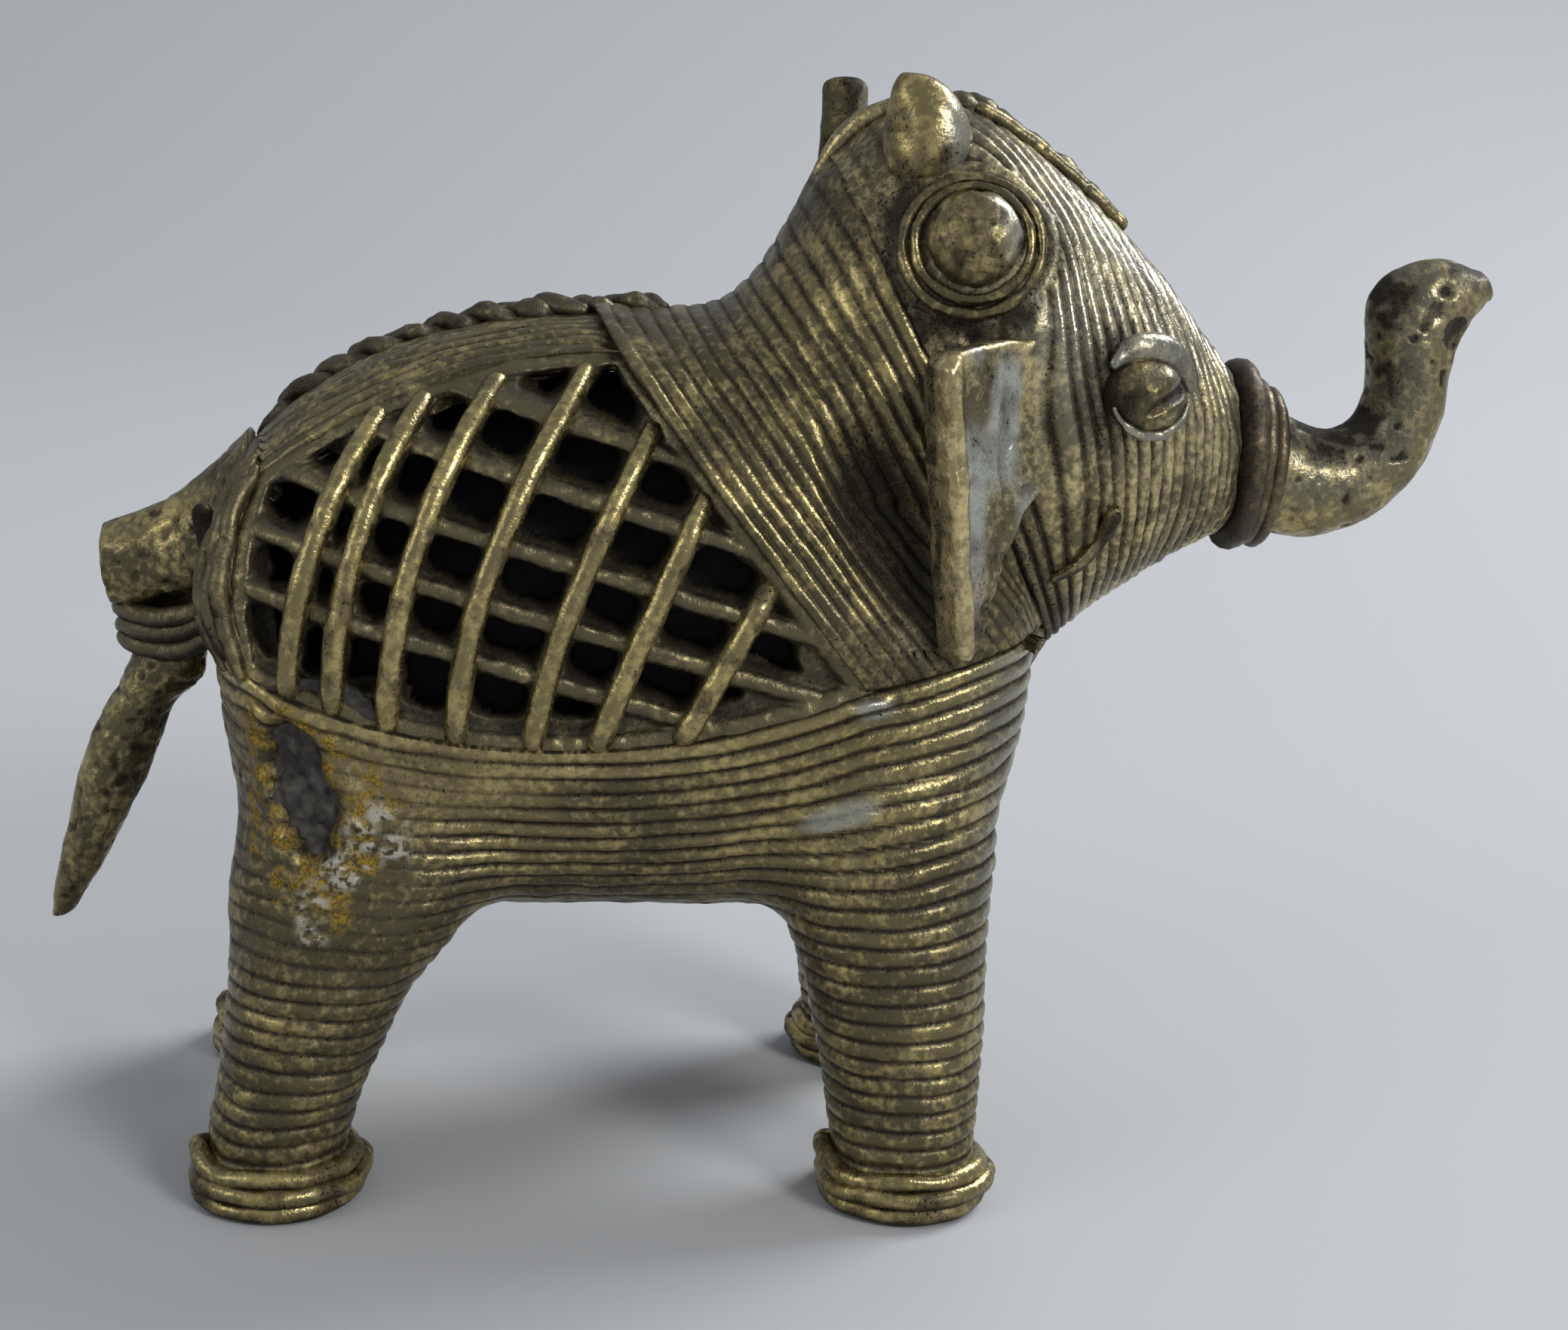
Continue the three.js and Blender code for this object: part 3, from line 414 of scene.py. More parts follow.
def makeClay(name, pale, dark):
    material = bpy.data.materials.new(name)
    material.use_nodes = True
    tree = material.node_tree
    shader = tree.nodes["Principled BSDF"]
    place = addNode(tree, "ShaderNodeTexCoord").outputs["Object"]
    lumps = grain(tree, place, 900.0, 5.0)
    colour = mixColours(tree, ramp(tree, lumps, 0.35, 0.68), dark, pale)
    tree.links.new(colour, shader.inputs["Base Color"])
    shader.inputs["Roughness"].default_value = 0.9
    bump = addNode(tree, "ShaderNodeBump", Strength=0.9, Distance=0.0003)
    tree.links.new(lumps, bump.inputs["Height"])
    tree.links.new(bump.outputs[0], shader.inputs["Normal"])
    return material


brass = makeMetal("brass", (0.43, 0.35, 0.155, 1), (0.115, 0.098, 0.052, 1), 0.19)
# a brighter copy of brass for the head and ears, painted light
headBrassPaintedLit = makeMetal("headBrassPaintedLit", (0.6, 0.5, 0.25, 1), (0.15, 0.128, 0.07, 1), 0.17, 0.35)
darkBrass = makeMetal("darkBrass", (0.29, 0.242, 0.12, 1), (0.095, 0.083, 0.05, 1), 0.29, 0.8)
brightBrass = makeMetal("brightBrass", (0.44, 0.355, 0.15, 1), (0.16, 0.137, 0.07, 1), 0.18, 0.3)
redBrass = makeMetal("redBrass", (0.22, 0.175, 0.095, 1), (0.075, 0.06, 0.042, 1), 0.32, 0.7)
clay = makeClay("clay", (0.066, 0.06, 0.052, 1), (0.011, 0.01, 0.009, 1))
# charcoal clay darkened to near black, painted shade inside the body
charcoalClayAndShade = makeClay("charcoalClayAndShade", (0.011, 0.011, 0.012, 1), (0.004, 0.004, 0.005, 1))

# the cores keep the solids' own shapes; the body and head cores take the near black clay, painted shade seen
# through the window holes
for node, obj in frame["nodes"].items():
    if node.endswith("_core"):
        obj.material_slots[0].material = charcoalClayAndShade if node in ("body_core", "head_core") else clay

print("materials ready")


# the forms under the threads, as in the solids

torso = {"middleX": -12, "axisZ": 47, "halfLength": 34, "halfWidth": 21, "rise": 24, "drop": 24.9,
         "planPower": 4.4, "backPower": 2.2, "bellyPower": 3.2, "upperPower": 2.3, "lowerPower": 2.8}
window = {"rearX": -40.6, "rearZ": 43.8, "frontX": 7.2, "frontZ": 44.1, "sag": 4.9,
          "highFront": (-12.1, 68.8), "highRear": (-40.0, 58.7)}
pitch = 1.56
legPower = 2.1
haunchZ = 36
stance = 15.2
stagger = 3.4
# each leg from the sole up: front edge, rear edge, half its width, and how far it leans inwards
legTable = {
    "front": np.array([(18.1, 7.1, 5.2, 0), (18.3, 6.4, 5.6, 0.1), (18.5, 5.4, 6.1, 0.4),
                       (18.6, 4.0, 6.8, 0.9), (18.7, 2.1, 7.5, 1.6), (19.1, -0.2, 7.9, 2.5),
                       (18.8, -0.4, 7.3, 3.2)]),
    "rear": np.array([(-33.2, -44.2, 5.3, 0), (-32.8, -44.0, 5.7, 0.1), (-30.6, -43.0, 6.2, 0.4),
                      (-27.8, -42.5, 7.0, 1.0), (-23.4, -42.4, 7.8, 1.8), (-20.6, -42.4, 8.2, 2.8),
                      (-22.4, -41.5, 7.4, 3.4)])}


def torsoSpans(x, grow):
    s = np.minimum(np.abs(x - torso["middleX"]) / (torso["halfLength"] + grow), 0.9999)
    sizes = []
    for size, power in (("halfWidth", "planPower"), ("rise", "backPower"), ("drop", "bellyPower")):
        sizes.append((torso[size] + grow) * (1 - s ** torso[power]) ** (1 / torso[power]))
    return sizes


def torsoGap(p, grow=0):
    # how far a point is outside the torso's form, near enough
    x, y, z = np.moveaxis(p, -1, 0)
    half, rise, drop = torsoSpans(x, grow)
    over = z > torso["axisZ"]
    high = np.where(over, rise, drop)
    power = np.where(over, torso["upperPower"], torso["lowerPower"])
    r = ((np.abs(y) / half) ** power + (np.abs(z - torso["axisZ"]) / high) ** power) ** (1 / power)
    gap = (r - 1) * np.minimum(half, high)
    return np.maximum(gap, np.abs(x - torso["middleX"]) - torso["halfLength"] - grow)


def flankY(x, z, depth=0):
    # how far out the flank is at a place in the side view
    half, rise, drop = torsoSpans(x, -depth)
    over = z > torso["axisZ"]
    power = np.where(over, torso["upperPower"], torso["lowerPower"])
    s = np.minimum(np.abs(z - torso["axisZ"]) / np.where(over, rise, drop), 0.995)
    return half * (1 - s ** power) ** (1 / power)


def legPlan(kind, z, isLeft):
    front, rear, half, inset = np.moveaxis(catmull(legTable[kind], z / haunchZ), -1, 0)
    shift = stagger * (1 - np.clip(z / haunchZ, 0, 1)) if kind == "rear" else 0 * z
    return (front + rear) / 2 - shift * isLeft, (front - rear) / 2, half, stance - inset


def legGap(p):
    x, y, z = np.moveaxis(p, -1, 0)
    nearest = None
    for kind in legTable:
        middle, reach, half, out = legPlan(kind, z, y > 0)
        r = (np.abs(x - middle) / reach) ** legPower + (np.abs(np.abs(y) - out) / half) ** legPower
        r = r ** (1 / legPower)
        gap = (r - 1) * np.minimum(reach, half) + np.maximum(z - haunchZ, 0) + np.maximum(-z, 0)
        nearest = gap if nearest is None else np.minimum(nearest, gap)
    return nearest


fillet = 3.2  # of wax between legs and belly


def lowerGap(p):
    # the torso, drawn out towards the legs
    gap = torsoGap(p)
    return np.maximum(smoothLeast(gap, legGap(p), fillet), gap - fillet)


def reachSkin(gapOf, origin, direction, far=60.0):
    low = np.zeros(direction.shape[:-1])
    high = np.full(direction.shape[:-1], far)
    for _ in range(17):
        middle = (low + high) / 2
        inside = gapOf(origin + direction * middle[..., None]) < 0
        low = np.where(inside, middle, low)
        high = np.where(inside, high, middle)
    return origin + direction * low[..., None]


def sillZ(x):
    # the windows' lower edge, which the threads below it follow round the chest and rump
    t = (x - window["rearX"]) / (window["frontX"] - window["rearX"])
    sagging = window["rearZ"] + (window["frontZ"] - window["rearZ"]) * t - 4 * window["sag"] * t * (1 - t)
    return np.where(t < 0, window["rearZ"] - 0.16 * (x - window["rearX"]),
                    np.where(t > 1, window["frontZ"] + 0.24 * (x - window["frontX"]), sagging))


def threadLevel(p):
    # height of the thread that passes here: sagging under the window, level down the legs
    x, z = p[..., 0], p[..., 2]
    wander = 0.32 * noise(p, 9.0, 3) + 0.12 * noise(p, 3.6, 4)
    hind = smoothStep(-22, -30, x) * smoothStep(30, 16, z)
    wander = wander + hind * (0.55 * noise(p, 5.0, 5) + 0.035 * (x + 36) * smoothStep(4, 18, z))
    return z - (sillZ(x) - window["rearZ"]) * smoothStep(14, 44, z) + wander


skin = {"threadDepth": 0.56, "uneven": 0.13, "roughest": 0.95, "swell": 0.12, "tuck": 2.0}
polished = {"middle": (-26.5, 36.0), "radii": (9.5, 3.0), "gold": 0.9}
sillThreads = {"height": 0.22, "gold": 0.95}
blob = {"middle": (7.6, 43.0), "radii": (1.5, 0.8), "height": 0.5, "silver": 0.9}
smear = {"middle": (5.6, 34.2), "radii": (3.0, 1.1), "lean": 0.3, "height": 0.4, "silver": 0.8}
faraway = 9.0
flaw = {"rim": 1.5, "depth": 2.1, "lip": 0.35, "lipReach": 0.8, "lipWhere": 0.9}
flawHole = np.array([(-39.1, 39.4), (-37.1, 40.9), (-34.9, 39.5), (-34.1, 36.8), (-32.7, 34.1),
                     (-33.5, 30.8), (-35.8, 28.9), (-37.5, 31.9), (-38.9, 35.5)])
ochreRim = np.array([(-41.4, 40.8), (-36.8, 43.0), (-31.8, 38.6), (-28.4, 34.5), (-29.0, 30.9),
                     (-31.8, 26.8), (-34.7, 22.8), (-38.7, 26.3), (-40.9, 33.0)])
crusts = (((-30.2, 32.6), (2.1, 1.9)), ((-32.6, 29.3), (2.0, 1.3)), ((-34.9, 25.6), (1.2, 2.4)),
          ((-28.8, 30.6), (1.0, 1.2)))


def flawGap(p):
    # distance from the casting flaw's ragged edge in the right haunch, negative inside it
    x, y, z = np.moveaxis(p, -1, 0)
    ragged = 0.55 * noise(p, 1.6, 21) + 0.25 * noise(p, 0.7, 22)
    return np.where(y < 0, outlineGap(x, z, flawHole) + ragged, faraway)


def tuckRear(sheet):
    # the haunch draws in under the tail
    x, z = sheet[..., 0], sheet[..., 2]
    pull = smoothStep(-37, -46, x) * smoothStep(49, 43, z) * smoothStep(24, 37, z)
    return sheet + pull[..., None] * (skin["tuck"], 0, 0)


def roughPlaces(sheet):
    # where the threads are worn away: all rough places, and the polished one among them
    x, y, z = np.moveaxis(sheet, -1, 0)
    polish = np.where(y < 0, patchOf(x, z, polished["middle"], polished["radii"], 0.45), 0)
    polish = polish * smoothStep(-0.5, 0.4, noise(sheet, 4.0, 32) + 0.7)
    under = 0.8 * smoothStep(30, 24, z) * smoothStep(0.5, -3, -legGap(sheet) - 1)
    haunch = smoothStep(-22, -29, x) * smoothStep(15, 23, z) * smoothStep(41.5, 38, z)
    return np.clip(np.maximum.reduce([polish, under, 0.88 * haunch]), 0, skin["roughest"]), polish


def flawMasks(sheet, near):
    # the skin dips away under the clay, with a lip, an ochre stain and a pale crust round it
    x, z = sheet[..., 0], sheet[..., 2]
    gap = flawGap(sheet)
    dip = smoothStep(flaw["rim"] * 0.35, -flaw["rim"], gap)
    lip = flaw["lip"] * np.exp(-((gap - flaw["lipWhere"]) / flaw["lipReach"]) ** 2)
    stain = np.where(near, outlineGap(x, z, ochreRim) + 1.3 * noise(sheet, 1.8, 41), faraway)
    flecks = noise(sheet, 1.5, 42) + 0.8 * noise(sheet, 0.6, 45)
    ochre = smoothStep(0.9, -0.7, stain) * (1 - dip) * smoothStep(-0.15, 0.3, flecks)
    crust = np.maximum.reduce([patchOf(x, z, middle, radii, 0.5) for middle, radii in crusts])
    crumbs = 0.7 * noise(sheet, 1.3, 43) + noise(sheet, 0.55, 46)
    crust = np.where(near, crust, 0) * smoothStep(-0.15, 0.1, crumbs)
    return dip, np.where(near, lip, 0), ochre, crust


def woundSkin(sheet, normals):
    # the skin of belly and legs: threads, worn and rough places, and the flaw
    x, y, z = np.moveaxis(sheet, -1, 0)
    near = y < 0
    phase = (window["rearZ"] - threadLevel(sheet)) / pitch
    height, groove = laidThreads(phase)
    height = height * (1 + skin["uneven"] * threadOdds(phase, 31))
    rough, polish = roughPlaces(sheet)
    depth = skin["threadDepth"] * (1 - rough) * (0.86 + 0.22 * noise(sheet, 6.0, 33))
    bumps = 0.05 * noise(sheet, 0.7, 34) + (0.05 + 0.12 * rough) * noise(sheet, 2.2, 35)
    push = depth * (height - 1) + bumps + skin["swell"] * noise(sheet, 12.0, 36)
    grime = groove * (0.45 + 0.75 * (1 - rough)) + 0.28 * rough + 0.2 * noise(sheet, 2.8, 37)
    grime = grime + 0.3 * smoothStep(8, 0, z) * blotches(sheet, 3.5, 38, -0.2, 0.6)
    gold = 0.55 * height * smoothStep(0.0, 0.5, noise(sheet, 5.0, 39) + 0.25) * (1 - rough)
    gold = polished["gold"] * polish + gold
    # the two sill threads are rubbed bright and end in a blob
    sill = smoothStep(2.1, 1.8, phase) * smoothStep(-0.1, 0.1, phase)
    sill = sill * smoothStep(10, 4, x) * smoothStep(0, -6, y)
    lump = np.where(near, patchOf(x, z, blob["middle"], blob["radii"], 0.4), 0)
    gold = np.maximum(gold, sillThreads["gold"] * sill * height)
    push = push + sillThreads["height"] * sill + blob["height"] * lump
    # a smear of metal beside the foreleg
    level = z - smear["lean"] * (x - smear["middle"][0])
    blot = np.where(near, patchOf(x, level, smear["middle"], smear["radii"]), 0)
    push = push + smear["height"] * blot * (1 - 0.6 * height)
    grime = grime * (1 - 0.7 * blot)
    # painted reflections on the smear, the blob and the thread crests at the front of the chest
    chest = 0.7 * smoothStep(14, 21, x) * smoothStep(10, 30, z) * height
    silver = smear["silver"] * blot + blob["silver"] * lump + chest
    dip, lip, ochre, crust = flawMasks(sheet, near)
    push = push * (1 - 0.7 * dip) - flaw["depth"] * dip + lip
    push = push + 0.35 * crust * (1 - dip) + 0.1 * ochre * noise(sheet, 0.8, 44)
    masks = {"grime": np.clip(grime + 0.9 * dip, 0, 1), "gold": np.clip(gold, 0, 1), "silver": silver,
             "ochre": ochre, "crust": np.clip(1.3 * crust, 0, 1) * (1 - dip)}
    sheet = tuckRear(pushed(sheet, normals, push))
    sheet[:, -1] = sheet[:, 0]
    return sheet, masks


print("forms ready")


# belly trough: a cup round the lower body, its rim along the windows' sills

trough = {"columns": 560, "rows": 150, "innerRows": 14, "wall": 2.4, "spineLength": 22, "spineX": -13,
          "straight": 0.3, "centreDrop": 3, "crowding": 1.12}


def troughSheets():
    turn = np.linspace(0, 1, trough["columns"] + 1)
    # the columns start from a line along the body's middle and fan out round its two ends
    fan = (1 - trough["straight"]) / 2
    side = (turn * 2) % 1
    along = np.clip((side - fan) / trough["straight"], 0, 1)
    facing = np.where(side < fan, side / fan - 1, np.where(side > 1 - fan, (side - 1 + fan) / fan, 0))
    sense = np.where(turn < 0.5, -1, 1)
    x = trough["spineX"] + sense * trough["spineLength"] * (along - 0.5) * -1
    angle = np.radians(90) * facing
    plan = np.stack([-sense * np.sin(angle), sense * np.cos(angle), 0 * angle], axis=-1)
    origin = np.stack([x, 0 * x, 0 * x + torso["axisZ"] - trough["centreDrop"]], axis=-1)

    def atFall(gapOf, fall):
        tilt = fall * np.pi / 2
        direction = plan * np.cos(tilt)[..., None] - np.array([0, 0, 1]) * np.sin(tilt)[..., None]
        return reachSkin(gapOf, np.broadcast_to(origin, direction.shape), direction)

    low, high = np.full(turn.shape, -0.3), np.full(turn.shape, 0.5)
    for _ in range(16):
        middle = (low + high) / 2
        p = atFall(torsoGap, middle)
        over = p[:, 2] > sillZ(p[:, 0])
        low, high = np.where(over, middle, low), np.where(over, high, middle)
    steps = np.linspace(0, 1, trough["rows"] + 1)[:, None]
    fall = low + (1 - low) * steps ** trough["crowding"]
    outer = atFall(lowerGap, fall)
    line = np.round(outer[-1], 3)
    outer, masks = woundSkin(outer, sheetNormals(outer, (torso["middleX"], 0, torso["axisZ"])))
    outer[-1] = line
    steps = np.linspace(0, 1, trough["innerRows"] + 1)[:, None]
    inner = atFall(lambda p: torsoGap(p, -trough["wall"]), low + (1 - low) * steps)
    inner[:, -1] = inner[:, 0]
    return cupSheets(outer, masks, inner)


layPiece("bellyTrough", troughSheets(), "belly_trough", brass)
print("belly trough laid")


# legs: cups wound with rings, closed by a sole

leg = {"columns": 170, "rows": 190, "soleRows": 10, "wall": 1.8, "rim": 0.7, "innerRows": 12, "skin": 0.12}
legNames = {(right, "front"): "right_front", (left, "front"): "left_front",
            (right, "rear"): "right_rear", (left, "rear"): "left_rear"}


def legRing(side, kind, z, angle, grow=0.0):
    middle, reach, half, out = legPlan(kind, z, side > 0)
    return np.stack([middle + (reach + grow) * bend(np.sin(angle), legPower),
                     side * out + (half + grow) * bend(np.cos(angle), legPower), z], axis=-1)


def legSheets(side, kind):
    angle = np.linspace(0, 2 * np.pi, leg["columns"] + 1)[None]
    z = np.linspace(haunchZ + 1, leg["rim"], leg["rows"] + 1)[:, None]
    z, angle = np.broadcast_arrays(z, angle)
    outer = legRing(side, kind, z, angle)
    # above the fillet the leg's end sinks into the body
    sunk = smoothStep(haunchZ - 4, haunchZ + 1, z) * 1.2
    normals = sheetNormals(outer, (outer[..., 0].mean(), side * stance, 18))
    outer = pushed(outer, normals, leg["skin"] - sunk)
    outer, masks = woundSkin(outer, normals)
    ring = legRing(side, kind, np.zeros(leg["columns"] + 1), angle[0])
    middle = ring[:-1].mean(axis=0)
    shrink = np.linspace(1, 0, leg["soleRows"])[:, None, None] * 0.93
    sole = middle + (ring - middle) * shrink
    outer = np.concatenate([outer, sole])
    for key, value in masks.items():
        fill = np.full(sole.shape[:2], 0.5 if key == "grime" else 0.0)
        masks[key] = np.concatenate([np.broadcast_to(value, z.shape), fill])
    z = np.linspace(haunchZ, 2.2, leg["innerRows"])[:, None]
    z, angle = np.broadcast_arrays(z, angle[:1])
    inner = legRing(side, kind, z, angle, -leg["wall"])
    inner = np.concatenate([inner, np.broadcast_to(inner[-1, :-1].mean(axis=0), inner[:1].shape)])
    return cupSheets(outer, masks, inner)


for (side, kind), name in legNames.items():
    layPiece(name.replace("_", "") + "Leg", legSheets(side, kind), name + "_leg", brass)
print("legs laid")


# rump panel: the strip behind the windows, its threads ringing the tail's root

rump = {"columns": 190, "rows": 110, "wall": 2.2, "heart": (-28.0, 0.0, 50.0), "backX": -41.3,
        "pitch": 1.75, "ridges": (4, 10, 16), "tailZ": 51.5, "threadDepth": 0.34}


def topZ(x, y):
    half, rise, _ = torsoSpans(x, 0)
    s = np.minimum(np.abs(y) / half, 0.995)
    return torso["axisZ"] + rise * (1 - s ** torso["upperPower"]) ** (1 / torso["upperPower"])


def rumpSheet():
    heart = np.array(rump["heart"])
    across = np.linspace(-1, 1, rump["columns"] + 1)
    cornerY = flankY(window["rearX"], window["rearZ"])
    angle = across * math.atan2(cornerY, heart[0] - window["rearX"])
    direction = np.stack([-np.cos(angle), np.sin(angle), 0 * angle], axis=-1)
    z = np.full(angle.shape, window["rearZ"])
    for _ in range(3):
        low = reachSkin(torsoGap, np.stack([0 * z + heart[0], 0 * z, z], axis=-1), direction)
        z = sillZ(low[:, 0])
    highX, highZ = window["highRear"]
    y = across * flankY(highX, highZ)
    x = rump["backX"] + (highX - rump["backX"]) * np.abs(across) ** 2
    high = np.stack([x, y, topZ(x, y)], axis=-1)
    v = np.linspace(0, 1, rump["rows"] + 1)[:, None, None]
    direction = unit(unit(low - heart) * (1 - v) + unit(high - heart) * v)
    return reachSkin(torsoGap, np.broadcast_to(heart, direction.shape), direction)


def roughSkin(sheet, normals, phase, depth, seed):
    # threads of a given height over grainy metal
    height, groove = laidThreads(phase)
    height = height * (1 + 0.15 * threadOdds(phase, seed))
    push = depth * (height - 1) + 0.05 * noise(sheet, 0.7, seed + 1) + 0.12 * noise(sheet, 2.4, seed + 2)
    strength = np.clip(depth / 0.4, 0, 1)
    grime = groove * (0.3 + 0.6 * strength) + 0.3 * (1 - strength) + 0.25 * noise(sheet, 2.6, seed + 3)
    gold = 0.5 * height * smoothStep(0.05, 0.5, noise(sheet, 4.0, seed + 4) + 0.05)
    masks = {"grime": np.clip(grime, 0, 1), "gold": np.clip(gold, 0, 1)}
    return tuckRear(pushed(sheet, normals, push)), masks


sheet = rumpSheet()
normals = sheetNormals(sheet, rump["heart"], wrapped=False)
x, y, z = np.moveaxis(sheet, -1, 0)
around = np.hypot(y, 0.8 * (z - rump["tailZ"]))
sheet, masks = roughSkin(sheet, normals, around / rump["pitch"] + 0.3 * noise(sheet, 5.0, 50),
                         rump["threadDepth"] * smoothStep(4.0, 6.5, around), 51)
ridgeLines = [sheet[:, column] for place in rump["ridges"] for column in (place, -1 - place)]
layPiece("rumpPanel", [(sheet, masks)], "rump_panel", darkBrass, wall=rump["wall"])

# back panel: long threads over the back, between the windows

back = {"columns": 230, "rows": 150, "wall": 2.2, "threads": 7.5}
neckRootX = -14.6
neckLean = math.radians(52)
bodyTopZ = 71


def neckPlaneX(z):
    return neckRootX + (bodyTopZ + 1 - z) / math.tan(neckLean)


def windowTopZ(x):
    (x0, z0), (x1, z1) = window["highRear"], window["highFront"]
    t = (x - x0) / (x1 - x0)
    return np.where(t < 0, z0 - 0.9 * (x - x0), z0 + (z1 - z0) * t + 10.4 * t * (1 - t))


def backSheet():
    across = np.linspace(0, 1, back["columns"] + 1)[None]
    spread = np.abs(2 * across - 1)
    startX = rump["backX"] + (window["highRear"][0] - rump["backX"]) * spread ** 2
    endZ = window["highFront"][1] + (bodyTopZ - window["highFront"][1]) * (1 - spread ** 2)
    x = startX + (neckPlaneX(endZ) - startX) * np.linspace(0, 1, back["rows"] + 1)[:, None]
    half, rise, _ = torsoSpans(x, 0)
    power = torso["upperPower"]
    s = np.clip((windowTopZ(x) - torso["axisZ"]) / rise, 0, 0.9999)
    edge = np.arcsin(s ** (power / 2))
    angle = edge + (np.pi - 2 * edge) * across
    return np.stack([x, -half * bend(np.cos(angle), power),
                     torso["axisZ"] + rise * bend(np.sin(angle), power)], axis=-1)


sheet = backSheet()
normals = sheetNormals(sheet, (-20, 0, 47), wrapped=False)
fromSide = 1 - np.abs(np.linspace(-1, 1, back["columns"] + 1))
phase = back["threads"] * fromSide + 0.3 * noise(sheet, 6.0, 57)
sheet, masks = roughSkin(sheet, normals, phase, 0.27 * smoothStep(-10, -22, sheet[..., 0]) + 0.05, 58)
layPiece("backPanel", [(sheet, masks)], "back_panel", brass, wall=back["wall"])


# neck and head: lofts between a line over the crown and one under the throat

poll = (3.6, 84.0)
throat = (24.0, 44.6)
headHalf = 17.2
under = (15.48, 33.5)
neckSections = np.array([
    (neckRootX, 72, *under, 20.8),
    (neckRootX + 6, 71.5, (2 * under[0] + throat[0]) / 3 - 0.3, 35.8, 19.6),
    (poll[0] - 7.2, poll[1] - 11.4, (under[0] + 2 * throat[0]) / 3 - 0.7, 38.5, 18.1),
    (poll[0] - 3.4, poll[1] - 6.8, throat[0] - 1.8, 41.3, 16.9),
    (*poll, *throat, 16.3)])
headSections = np.array([
    (0, 0, 0, 0, -0.9), (4.9, 4, 1.8, 1.6, -0.2), (10.9, 4.6, 3.6, 3.2, 0), (16.4, 1.8, 5.8, 4.9, -0.8),
    (22.4, -2.8, 8, 6.4, -2.6), (27.7, -7.8, 10.4, 7.9, -5), (31.4, -12.2, 12.6, 8.9, -7.6),
    (34.6, -15.8, 14.4, 9.7, -10)]) + (*poll, *throat, headHalf)
headPower = 2.3


def loft(sections, u, angle, grow=0.0, power=headPower):
    # angle 0 on the left flank, a quarter turn over the top, half a turn on the right flank
    x1, z1, x2, z2, half = np.moveaxis(catmull(sections, u), -1, 0)
    length = np.hypot(x1 - x2, z1 - z2)
    reach = (length / 2 + grow) / length
    c, s = bend(np.cos(angle), power), bend(np.sin(angle), power)
    return np.stack([(x1 + x2) / 2 + (x1 - x2) * reach * s, (half + grow) * c,
                     (z1 + z2) / 2 + (z1 - z2) * reach * s], axis=-1)


def loftSheet(sections, rows, columns, grow=0.0, power=headPower, stop=1.0):
    u = np.linspace(0, stop, rows + 1)
    u, angle = np.meshgrid(u, np.linspace(0, 2 * np.pi, columns + 1), indexing="ij")
    return loft(sections, u, angle, grow, power), u, angle


neck = {"columns": 330, "rows": 130, "innerRows": 8, "wall": 2.4, "threads": 15, "shoulder": 5.5,
        "threadDepth": 0.4, "middle": (4, 0, 60)}
pocket = {"middle": (8.6, 57.0), "radii": (3.6, 7.5), "lean": 0.35, "depth": 1.7, "grime": 1.1}


def ontoShoulder(p):
    # points inside the torso come out onto its skin, except under the sill
    step = 0.05
    for _ in range(4):
        gap = torsoGap(p)
        slope = np.stack([torsoGap(p + step * axis) - gap for axis in np.eye(3)], axis=-1) / step
        size = np.maximum(np.sum(slope ** 2, axis=-1), 0.3)
        shoulder = neck["shoulder"]
        depth = np.clip(-gap, 0, shoulder / 2) * smoothStep(-2 * shoulder, -shoulder, gap)
        depth = depth * smoothStep(-1.6, 0.2, p[..., 2] - sillZ(p[..., 0]))
        p = p + slope * (depth / size)[..., None]
    return p


outer, u, angle = loftSheet(neckSections, neck["rows"], neck["columns"])
outer = ontoShoulder(outer)
normals = sheetNormals(outer, neck["middle"])
x, y, z = np.moveaxis(outer, -1, 0)
sunk = smoothStep(0.5, -0.6, z - sillZ(x)) * smoothStep(1.2, 0.2, torsoGap(outer)) * 1.3
phase = neck["threads"] * u + 0.2 * noise(outer, 6.0, 61)
grainy = np.maximum(smoothStep(73, 80, z), smoothStep(54, 47, z) * smoothStep(-4, 3, x))
grainy = np.maximum(grainy, 0.6 * smoothStep(0.75, 0.98, np.sin(angle)))
outer, masks = roughSkin(outer, normals, phase, neck["threadDepth"] * (1 - 0.85 * grainy), 62)
outer = pushed(outer, normals, -sunk)
# a hollow between neck and ear, darkened with painted shade
leaning = x + pocket["lean"] * (z - pocket["middle"][1])
hollow = np.where(y < 0, patchOf(leaning, z, pocket["middle"], pocket["radii"], 0.5), 0)
outer = pushed(outer, normals, -pocket["depth"] * hollow)
masks["grime"] = np.clip(masks["grime"] + pocket["grime"] * hollow + 0.2 * grainy, 0, 1)
outer[-1] = outer[-1] + 0.4 * unit(outer[-1] - outer[-4])
inner, _, _ = loftSheet(neckSections, neck["innerRows"], neck["columns"], -neck["wall"])
inner = np.concatenate([outer[:1], inner[1:-1], outer[-1:]])
layPiece("neckShell", [(outer, masks), (inner, {"grime": 1.0})], "neck_shell", brass)
print("back and neck laid")

